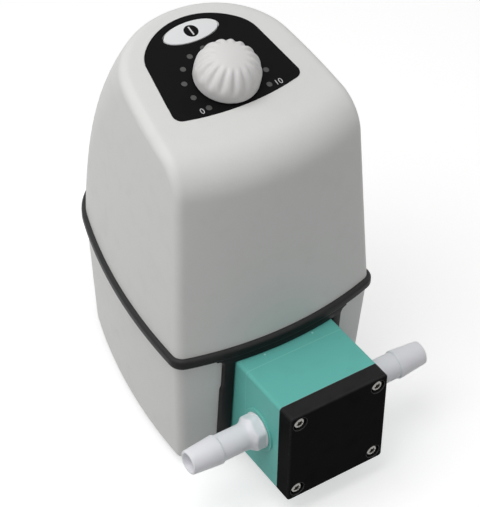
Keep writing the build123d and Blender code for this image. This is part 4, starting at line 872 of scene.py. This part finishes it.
def lower_casing():
    """Lower shell: drafted wall, rounded base edge, floor with its wells, and two openings."""
    shares = ring_shares()
    edge_z = SEAM_Z - BEAD_H / 2 + SEAM_OVERLAP
    half_rings = seam_seat(edge_z)
    wall_low = BASE_Z + BASE_EDGE_R
    wall = [plan_point(shares, z) for z in np.linspace(edge_z, wall_low, 22)]
    half_rings += settled_rings(wall, LOWER_FORM)
    for turn in quarter_turn(6)[1:]:
        wall, outward = level_line(wall_low - BASE_EDGE_R * sin(turn))
        half_rings.append(wall - outward * BASE_EDGE_R * (1 - cos(turn)))
    floor_inset = 0.15
    half_rings.append(half_rings[-1] - outward * floor_inset)
    bm = bmesh.new()
    inner = loft_rings(bm, [whole_ring(half) for half in half_rings])
    mouths = [well(bm, x, y, FOOT_WELL) for x, y in FEET]
    mouths += [well(bm, x, y, [(POST_HOLE_R, BASE_Z)]) for x, y in POSTS]
    mouths += [well(bm, x, y, LUG_WELL) for x, y in LUGS]
    fill_with_holes(bm, [inner] + mouths)
    half = HEAD_SIDE / 2 + WINDOW_GAP + 1.5
    hole_r = GLAND_PAD_R - 3
    front_end, rear_start = 60, 100

    def in_window(middle):
        """Whether a face lies where the pump head goes in, under the seal's frame."""
        return middle.y < front_end and abs(middle.x) < half and abs(middle.z - HEAD_Z) < half

    def behind_pad(middle):
        """Whether a face lies behind the gland's pad."""
        off_centre = sqrt(middle.x**2 + (middle.z - GLAND_Z) ** 2)
        return middle.y > rear_start and off_centre < hole_r

    middles = [(face, face.calc_center_median()) for face in bm.faces]
    cut = [face for face, middle in middles if in_window(middle) or behind_pad(middle)]
    bmesh.ops.delete(bm, geom=cut, context="FACES")
    shell = keep_piece(bm, "lower_shell", "housing", "casing", ["lower_housing"])
    add_modifier(shell, "SOLIDIFY", thickness=SHELL_T * MM, offset=-1.0, use_even_offset=True)


def spun_rings(profile, count=64, close=False):
    """Rings about the z axis through (radius, z) pairs."""
    rings = []
    for radius, z in profile:
        circle = circle_points(radius, count)
        rings.append(np.column_stack([circle, np.full(count, z)]))
    if close:
        rings.append(rings[0])
    return rings


def case_posts():
    """Tubes that the casing screws stand in, inside the lower shell."""
    bm = bmesh.new()
    for x, y in POSTS:
        loft_rings(bm, [ring + (x, y, 0.0) for ring in spun_rings(POST_TUBE, 32, close=True)])
    keep_piece(bm, "case_posts", "housing", "casing")


def gland_pad():
    """Round pad on the rear wall with the gland's hole."""
    low = GLAND_PAD_Y - GLAND_PAD_T
    profile = [
        (GLAND_HOLE_R, low), (GLAND_PAD_R, low), (GLAND_PAD_R, GLAND_PAD_Y - 0.3),
        (GLAND_PAD_R - 0.1, GLAND_PAD_Y - 0.1), (GLAND_PAD_R - 0.3, GLAND_PAD_Y),
        (GLAND_HOLE_R + 0.2, GLAND_PAD_Y), (GLAND_HOLE_R, GLAND_PAD_Y - 0.2),
    ]
    bm = bmesh.new()
    loft_rings(bm, spun_rings(profile, 96, close=True))
    matrix = frame_at((0, 0, GLAND_Z), (1, 0, 0), (0, 1, 0))
    keep_piece(bm, "gland_pad", "housing", "casing", matrix=matrix)


def seal_bead():
    """Rounded black bead all round the seam."""
    seam, outward = level_line(SEAM_Z)
    half_h = BEAD_H / 2
    middle = BEAD_PROUD - BEAD_ROUND
    high = half_h - BEAD_ROUND
    section = [(-SEAL_SEAT, -half_h), (-SEAL_SEAT, half_h)]
    section += [
        (middle + BEAD_ROUND * sin(turn), high + BEAD_ROUND * cos(turn))
        for turn in quarter_turn(8)
    ]
    section += [
        (middle + BEAD_ROUND * cos(turn), -high - BEAD_ROUND * sin(turn))
        for turn in quarter_turn(8)
    ]
    section.append(section[0])
    rings = [whole_ring(seam + outward * x + np.array([0.0, 0.0, z])) for x, z in section]
    bm = bmesh.new()
    loft_rings(bm, rings)
    keep_piece(bm, "seal_bead", "housing", "seal_black", ["parting_seal"], sharp=50)


def frame_outline():
    """Right half of the seal frame's outline in the front view, from top to bottom."""
    half = HEAD_SIDE / 2 + FRAME_SIDE
    low = HEAD_Z - HEAD_SIDE / 2 - FRAME_LOW
    top = SEAM_Z - 1.0
    bar = SEAM_Z - BEAD_H / 2
    points = [(x, top) for x in np.linspace(0, half + FRAME_FLARE_R, 20)]
    flare = (half + FRAME_FLARE_R, bar - FRAME_FLARE_R)
    points += [
        (flare[0] - FRAME_FLARE_R * sin(turn), flare[1] + FRAME_FLARE_R * cos(turn))
        for turn in quarter_turn(9)
    ]
    levels = np.linspace(flare[1], low + FRAME_CORNER_R, 30)[1:-1]
    step = FRAME_STEP * np.clip((FRAME_STEP_Z - levels) / FRAME_STEP_H, 0.0, 1.0)
    points += list(zip(half + step, levels))
    half += FRAME_STEP
    corner = (half - FRAME_CORNER_R, low + FRAME_CORNER_R)
    points += [
        (corner[0] + FRAME_CORNER_R * cos(turn), corner[1] - FRAME_CORNER_R * sin(turn))
        for turn in quarter_turn(12)
    ]
    points += [(x, low) for x in np.linspace(corner[0], 0, 20)[1:]]
    return np.array(points)


def on_front(q, lift):
    """Points of the front view laid on the lower casing's front and lifted off it."""
    x, z = q[:, 0], q[:, 1]
    _, corner_y, front_r = outline_at(z)[:3]
    y = corner_y - FRONT_BOW + front_r - np.sqrt(front_r**2 - x**2)
    p = np.stack([x, y, z], axis=1)
    _, outward = slope_of(front_gap, p)
    return p + outward * lift


def seal_frame():
    """Black frame round the pump head, laid on the casing's front below the bead."""
    outline = frame_outline()
    ahead = np.roll(outline, -1, axis=0) - np.roll(outline, 1, axis=0)
    ahead[0] = (1.0, 0.0)
    ahead[-1] = (-1.0, 0.0)
    ahead /= np.linalg.norm(ahead, axis=1)[:, None]
    inward = np.stack([ahead[:, 1], -ahead[:, 0]], axis=1)
    side = HEAD_SIDE / 2 + WINDOW_GAP

    def window(grow):
        x = np.clip(outline[:, 0], -side - grow, side + grow)
        z = np.clip(outline[:, 1], HEAD_Z - side - grow, HEAD_Z + side + grow)
        return np.stack([x, z], axis=1)

    steps = [(window(0.0), -SEAL_SEAT), (window(0.0), BEAD_PROUD - 0.3)]
    steps += [(window(0.1), BEAD_PROUD - 0.1), (window(0.3), BEAD_PROUD)]
    for turn in quarter_turn(6):
        pull = FRAME_EDGE_R * (1 - sin(turn))
        lift = BEAD_PROUD - FRAME_EDGE_R * (1 - cos(turn))
        steps.append((outline + inward * pull, lift))
    steps += [(outline, -0.5), steps[0]]
    bm = bmesh.new()
    loft_rings(bm, [whole_ring(on_front(points, lift)) for points, lift in steps])
    keep_piece(bm, "seal_frame", "housing", "seal_black", sharp=50)


def soft_least(a, b, softness):
    """The lesser of two values, with a soft change from one to the other."""
    near = np.clip(0.5 + (b - a) / (2 * softness), 0, 1)
    return b * (1 - near) + a * near - softness * near * (1 - near)


def nozzle_radius(z, turns):
    """Radius of the nozzle's nut and neck at a height, all round."""
    corner_r = NUT_AF / sqrt(3)
    rise = corner_r - SHANK_R
    neck_r = (rise**2 + NECK_L**2) / (2 * rise)
    down = min(max(NUT_HIGH - z, 0.0), NECK_L)
    neck = SHANK_R + neck_r - sqrt(neck_r**2 - down**2)
    towards = [np.maximum(np.cos(turns - radians(30 + 60 * n)), 0.0) for n in range(6)]
    flats = [share ** HEXAGON_POWER for share in towards]
    hexagon = NUT_AF / 2 / np.sum(flats, axis=0) ** (1 / HEXAGON_POWER)
    if z < NUT_HIGH - NECK_L:
        return hexagon
    return soft_least(hexagon, np.full(len(turns), neck), 0.3)


def nozzles():
    """Hose nozzles: thread, collar, soft hexagon with a swept neck, shank, barb and bore."""
    count = 96
    turns = whole_turn(count)
    barb_low = NOZZLE_TIP_X - BARB_LENGTH
    foot = NOZZLE_FACE - THREAD_DEPTH
    thread = [
        (NOZZLE_BORE_R, foot), (THREAD_R - 0.6, foot), (THREAD_R, foot + 0.6),
        (THREAD_R, NOZZLE_FACE),
    ]
    collar = [
        (COLLAR_R - 0.2, NOZZLE_FACE), (COLLAR_R, NOZZLE_FACE + 0.2),
        (COLLAR_R, NUT_LOW - 0.25), (COLLAR_R - 0.1, NUT_LOW - 0.06),
        (COLLAR_R - 0.4, NUT_LOW),
    ]
    outer = [
        (SHANK_R, NUT_HIGH + 0.6), (SHANK_R, barb_low - 0.1),
        (SHANK_R + 0.25, barb_low + 0.05), (BARB_R - 0.15, barb_low + 0.2),
        (BARB_R, barb_low + BARB_EDGE), (BARB_R, barb_low + 2 * BARB_EDGE),
        (TIP_R + 0.06, NOZZLE_TIP_X - 0.6), (TIP_R - 0.06, NOZZLE_TIP_X - 0.2),
        (TIP_R - 0.3, NOZZLE_TIP_X),
        (NOZZLE_BORE_R + 0.2, NOZZLE_TIP_X), (NOZZLE_BORE_R, NOZZLE_TIP_X - 0.25),
    ]
    for name, matrix in NOZZLES.items():
        rings = spun_rings(thread + collar, count)
        for z in np.linspace(NUT_LOW, NUT_HIGH, 16):
            rings.append(ring_at(nozzle_radius(z, turns), turns, z))
        rings += spun_rings(outer, count)
        rings.append(rings[0])
        bm = bmesh.new()
        loft_rings(bm, rings)
        keep_piece(bm, name + "_form", "housing", "nozzle_milky", [name], matrix, sharp=40)


def knob_side(h):
    """Radius of the knob's leaning side at a height, before its flutes."""
    waist = KNOB_LOW + KNOB_WAIST_H
    first = (KNOB_WAIST_R - KNOB_R) / (waist - KNOB_SKIRT)
    above = (KNOB_TOP_R - KNOB_WAIST_R) / (KNOB_BROW - waist)
    second = (above - first) / (KNOB_BROW - KNOB_SKIRT)
    return KNOB_R + first * (h - KNOB_SKIRT) + second * (h - KNOB_SKIRT) * (h - waist)


def knob_profile():
    """Half section of the knob's outside from its lower edge to the top, its brow softened."""
    top = KNOB_LOW + KNOB_H
    dome_r = (KNOB_TOP_R**2 + KNOB_DOME_H**2) / (2 * KNOB_DOME_H)
    edge = [(KNOB_R - 0.4, KNOB_LOW), (KNOB_R - 0.12, KNOB_LOW + 0.15), (KNOB_R, KNOB_LOW + 0.5)]
    skirt = [(KNOB_R, h) for h in np.linspace(KNOB_LOW + 1.2, KNOB_SKIRT, 4)]
    side = [(knob_side(h), h) for h in np.linspace(KNOB_SKIRT, KNOB_BROW, 26)[1:]]
    dome_radii = np.linspace(KNOB_TOP_R, 0.3, 26)[1:]
    dome = [(r, top - dome_r + sqrt(dome_r**2 - r**2)) for r in dome_radii]
    line = np.array(skirt + side + dome)
    softenings = 14
    for _ in range(softenings):
        line[1:-1] = (line[:-2] + 2 * line[1:-1] + line[2:]) / 4
    return edge + [tuple(point) for point in line]


def flute_depth(r, h):
    """Depth of the knob's flutes: none on the skirt, full on the side, fading on the dome."""
    climb_h = 0.55 * (KNOB_BROW - KNOB_SKIRT)
    fade_r = KNOB_TOP_R + 0.8 - FLUTE_INNER_R
    climb = min(max((h - KNOB_SKIRT) / climb_h, 0.0), 1.0)
    fade = min(max((r - FLUTE_INNER_R) / fade_r, 0.0), 1.0)
    return FLUTE_DEPTH * climb**2 * (3 - 2 * climb) * fade**2 * (3 - 2 * fade)


def knob():
    """Fluted knob: a smooth domed top, narrow flutes between round lobes and a plain skirt."""
    turns = whole_turn(KNOB_FLUTES * 16)
    groove = (0.5 + 0.5 * np.cos(KNOB_FLUTES * turns)) ** GROOVE_POWER
    line = np.array(knob_profile())
    ahead = np.gradient(line, axis=0)
    ahead /= np.linalg.norm(ahead, axis=1)[:, None]
    rings = []
    for (r, h), (along_r, along_h) in zip(line, ahead):
        depth = flute_depth(r, h) * groove
        rings.append(ring_at(r - along_h * depth, turns, h + along_r * depth))
    inside = [
        (SPINDLE_R, SPINDLE_TOP), (SPINDLE_R, KNOB_LOW + KNOB_HOLLOW_H),
        (KNOB_HOLLOW_R, KNOB_LOW + KNOB_HOLLOW_H), (KNOB_HOLLOW_R, KNOB_LOW),
    ]
    bm = bmesh.new()
    loft_rings(bm, spun_rings(inside, len(turns)) + rings)
    close_holes(bm)
    keep_piece(bm, "knob_form", "knob", "knob_white", ["flow_knob"], ROOF, sharp=60)


def button_lift(x, v):
    """Height of the button's slightly crowned face over the roof's plane."""
    share = (x / BUTTON_CAP_A) ** 2 + ((v - BUTTON_V) / BUTTON_B) ** 2
    return BUTTON_RIM + BUTTON_CROWN * (1 - share)


def button():
    """Oval push button with a soft edge and a slightly crowned face."""
    turns = whole_turn(72)
    oval = np.stack([BUTTON_CAP_A * np.cos(turns), BUTTON_B * np.sin(turns)], axis=1)
    rim = oval + (0.0, BUTTON_V)
    levels = (BUTTON_LOW, BUTTON_RIM - BUTTON_EDGE_R)
    rings = [np.column_stack([rim, np.full(len(rim), lift)]) for lift in levels]
    for share in (0.99, 0.975, 0.95, 0.85, 0.7, 0.5, 0.3, 0.1):
        flat = oval * share + (0.0, BUTTON_V)
        drop = BUTTON_EDGE_R * max(0.0, 1 - (1 - share) / 0.03) ** 2
        rings.append(np.column_stack([flat, button_lift(flat[:, 0], flat[:, 1]) - drop]))
    bm = bmesh.new()
    loft_rings(bm, rings)
    close_holes(bm)
    keep_piece(bm, "button_form", "button", "button_white", ["power_button"], ROOF, sharp=50)


def button_mark(name, outline, lift, slot, material=None):
    """Printed mark on the button, from an outline about the button's middle."""
    bm = bmesh.new()
    rings = []
    for share in (1.0, 0.75, 0.5, 0.25, 0.05):
        flat = outline * share + (0.0, BUTTON_V)
        rings.append(np.column_stack([flat, button_lift(flat[:, 0], flat[:, 1]) + lift]))
    low = rings[0] - np.array([0.0, 0.0, 2 * PRINT_LIFT])
    loft_rings(bm, [low] + rings)
    close_holes(bm)
    keep_piece(bm, name, "button", slot, matrix=ROOF, sharp=30, material=material)


def button_marks():
    """The button's round mark and the bar on it."""
    button_mark("button_disc", circle_points(DISC_R, 48), PRINT_LIFT, "panel_black")
    across = np.linspace(-BAR_HALF_W, BAR_HALF_W, 3)[:-1]
    along = np.linspace(-BAR_HALF_L, BAR_HALF_L, 9)[:-1]
    sides = [(x, -BAR_HALF_L) for x in across] + [(BAR_HALF_W, v) for v in along]
    bar = np.array(sides + [(-x, -v) for x, v in sides])
    button_mark("button_bar", bar, 2 * PRINT_LIFT, "button_white", PRINT_WHITE)


def recess_ring(share, depth, count):
    """Ring of the screws' six-lobed recess."""
    turns = whole_turn(count)
    return ring_at(share * (RECESS_R + RECESS_LOBE * np.cos(6 * turns)), turns, depth)


def head_screws():
    """Four long screws with low domed heads and six-lobed recesses."""
    count = 48
    outside = [
        (0.05, -SCREW_END), (SCREW_R - 0.3, -SCREW_END), (SCREW_R, -SCREW_END + 0.3),
        (SCREW_R, -SCREW_SEAT), (SCREW_HEAD_R, -SCREW_SEAT),
        (SCREW_HEAD_R, -SCREW_FACE - 1.2), (SCREW_HEAD_R - 0.1, -SCREW_FACE - 0.8),
        (SCREW_HEAD_R - 0.3, -SCREW_FACE - 0.45), (SCREW_HEAD_R - 0.65, -SCREW_FACE - 0.18),
        (SCREW_HEAD_R - 1.0, -SCREW_FACE - 0.05),
    ]
    floor = -SCREW_FACE - RECESS_DEPTH
    recess = [
        (1.06, -SCREW_FACE), (1.0, -SCREW_FACE - 0.1), (0.95, floor + 0.2), (0.5, floor),
        (0.05, floor),
    ]
    rings = spun_rings(outside, count)
    rings += [recess_ring(share, depth, count) for share, depth in recess]
    bm = bmesh.new()
    for side in (-1, 1):
        for level in (-1, 1):
            move = np.array([side * SCREW_PITCH / 2, level * SCREW_PITCH / 2, 0.0])
            loft_rings(bm, [ring + move for ring in rings])
    close_holes(bm)
    keep_piece(bm, "head_screws_form", "housing", "screw_steel", ["head_screws"],
               HEAD_FRONT, sharp=40)


def head_pips():
    """Two tiny moulded pips on top of the crankcase's flange, in a paler green than the head as a
    painted highlight.
    """
    bm = bmesh.new()
    for x, y in PIPS:
        steps = [(PIP_R, -0.1)]
        steps += [(PIP_R * cos(turn), PIP_H * sin(turn)) for turn in np.linspace(0, 1.4, 4)]
        move = np.array([x, y, HEAD_Z + HEAD_SIDE / 2])
        loft_rings(bm, [ring + move for ring in spun_rings(steps, 16)])
    close_holes(bm)
    keep_piece(bm, "head_pips", "housing", "head_green", sharp=70, material=PIP_PAINTED_HIGHLIGHT)


def lenses():
    """Light pipes of the scale, each ending in a shallow dish with a soft rim."""
    rim = PANEL_PROUD + 0.06
    steps = [(DOT_R, PANEL_PROUD - PANEL_T), (DOT_R, PANEL_PROUD), (DOT_R - 0.08, rim)]
    for r in np.linspace(DOT_R - 0.16, 0.05, 7):
        steps.append((r, rim - DOT_DISH * (1 - (r / DOT_R) ** 2)))
    bm = bmesh.new()
    for x, v in DOTS:
        loft_rings(bm, [ring + (x, v, 0.0) for ring in spun_rings(steps, 24)])
    close_holes(bm)
    keep_piece(bm, "lens_dishes", "housing", "lens_grey", matrix=ROOF, sharp=70)


def scale_number(text, x, v):
    """Plain printed number beside the scale."""
    curve = bpy.data.curves.new("number_" + text, "FONT")
    curve.body = text
    curve.size = NUMBER_SIZE
    curve.offset = NUMBER_THINNER
    curve.align_x = "CENTER"
    curve.align_y = "CENTER"
    curve.extrude = PRINT_LIFT
    writer = add_object("writer", curve)
    depsgraph = bpy.context.evaluated_depsgraph_get()
    drawn = bpy.data.meshes.new_from_object(writer.evaluated_get(depsgraph))
    bpy.data.objects.remove(writer)
    bpy.data.curves.remove(curve)
    bm = bmesh.new()
    bm.from_mesh(drawn)
    bpy.data.meshes.remove(drawn)
    bmesh.ops.translate(bm, verts=bm.verts, vec=(x, v, PANEL_PROUD + PRINT_LIFT))
    keep_piece(bm, "scale_" + text, "housing", "panel_black", matrix=ROOF, material=PRINT_WHITE)


upper_casing()
lower_casing()
case_posts()
gland_pad()
seal_bead()
seal_frame()
nozzles()
knob()
button()
button_marks()
head_screws()
head_pips()
lenses()
scale_number("0", DOTS[0][0] - NUMBER_GAPS[0], DOTS[0][1] - NUMBER_DROP)
scale_number("10", DOTS[-1][0] + NUMBER_GAPS[1], DOTS[-1][1] - NUMBER_DROP)


# Camera and light

def add_camera():
    """Camera at the photograph's viewing angle."""
    back = Vector((
        sin(CAMERA_AZIMUTH) * cos(CAMERA_ELEVATION),
        -cos(CAMERA_AZIMUTH) * cos(CAMERA_ELEVATION),
        sin(CAMERA_ELEVATION),
    ))
    level = Vector((0, 0, 1)).cross(back).normalized()
    upright = back.cross(level)
    right = level * cos(CAMERA_ROLL) + upright * sin(CAMERA_ROLL)
    up = upright * cos(CAMERA_ROLL) - level * sin(CAMERA_ROLL)
    data = bpy.data.cameras.new("camera")
    data.lens = CAMERA_LENS
    data.sensor_width = CAMERA_SENSOR
    data.clip_start = 0.01
    camera = add_object("camera", data)
    turn = Matrix((right, up, back)).transposed().to_4x4()
    camera.matrix_world = Matrix.Translation(place(*CAMERA_AIM) + back * CAMERA_DISTANCE) @ turn
    bpy.context.scene.camera = camera


def add_area_light(name, place_at, aim_at, size, power):
    """Square white area light that faces a point."""
    data = bpy.data.lights.new(name, "AREA")
    data.shape = "RECTANGLE"
    data.size = data.size_y = size
    data.energy = power
    light = add_object(name, data)
    heading = Vector(aim_at) - Vector(place_at)
    turn = heading.to_track_quat("-Z", "Y").to_matrix().to_4x4()
    light.matrix_world = Matrix.Translation(place_at) @ turn


def seen_directly(tree):
    """Mask that is 1 for what the camera, a mirror or clear plastic sees, and 0 for light."""
    path = tree.nodes.new("ShaderNodeLightPath")
    mask = path.outputs["Is Camera Ray"]
    for name in ("Is Glossy Ray", "Is Transmission Ray"):
        mask = math_node(tree, "MAXIMUM", mask, path.outputs[name])
    return mask


def add_floor():
    """Pale floor that keeps the pump's shadow and is seen as white."""
    bm = bmesh.new()
    bmesh.ops.create_grid(bm, x_segments=1, y_segments=1, size=3.0)
    mesh = bpy.data.meshes.new("floor")
    bm.to_mesh(mesh)
    bm.free()
    floor = add_object("floor", mesh)
    material = bpy.data.materials.new("floor_paper")
    material.use_nodes = True
    tree = material.node_tree
    shader = tree.nodes["Principled BSDF"]
    mask = seen_directly(tree)
    paper = mixed_colour(tree, mask, FLOOR_LIT, FLOOR_SEEN)
    tree.links.new(paper, shader.inputs["Base Color"])
    shader.inputs["Roughness"].default_value = 0.9
    shader.inputs["Specular IOR Level"].default_value = 0.0
    shader.inputs["Emission Color"].default_value = (1.0, 1.0, 1.0, 1.0)
    glow = math_node(tree, "MULTIPLY", mask, FLOOR_GLOW)
    tree.links.new(glow, shader.inputs["Emission Strength"])
    mesh.materials.append(material)


def add_world():
    """Soft white light from all round, with a white background."""
    world = bpy.data.worlds.new("studio")
    world.use_nodes = True
    tree = world.node_tree
    strength = math_node(tree, "MULTIPLY", seen_directly(tree), 1.0 - WORLD_LIGHT)
    strength = math_node(tree, "ADD", strength, WORLD_LIGHT)
    background = tree.nodes["Background"]
    background.inputs["Color"].default_value = (1.0, 1.0, 1.0, 1.0)
    tree.links.new(strength, background.inputs["Strength"])
    bpy.context.scene.world = world


add_camera()
add_floor()
add_world()
for lamp in LIGHTS:
    add_area_light(*lamp)
bpy.context.scene.view_settings.view_transform = "Standard"
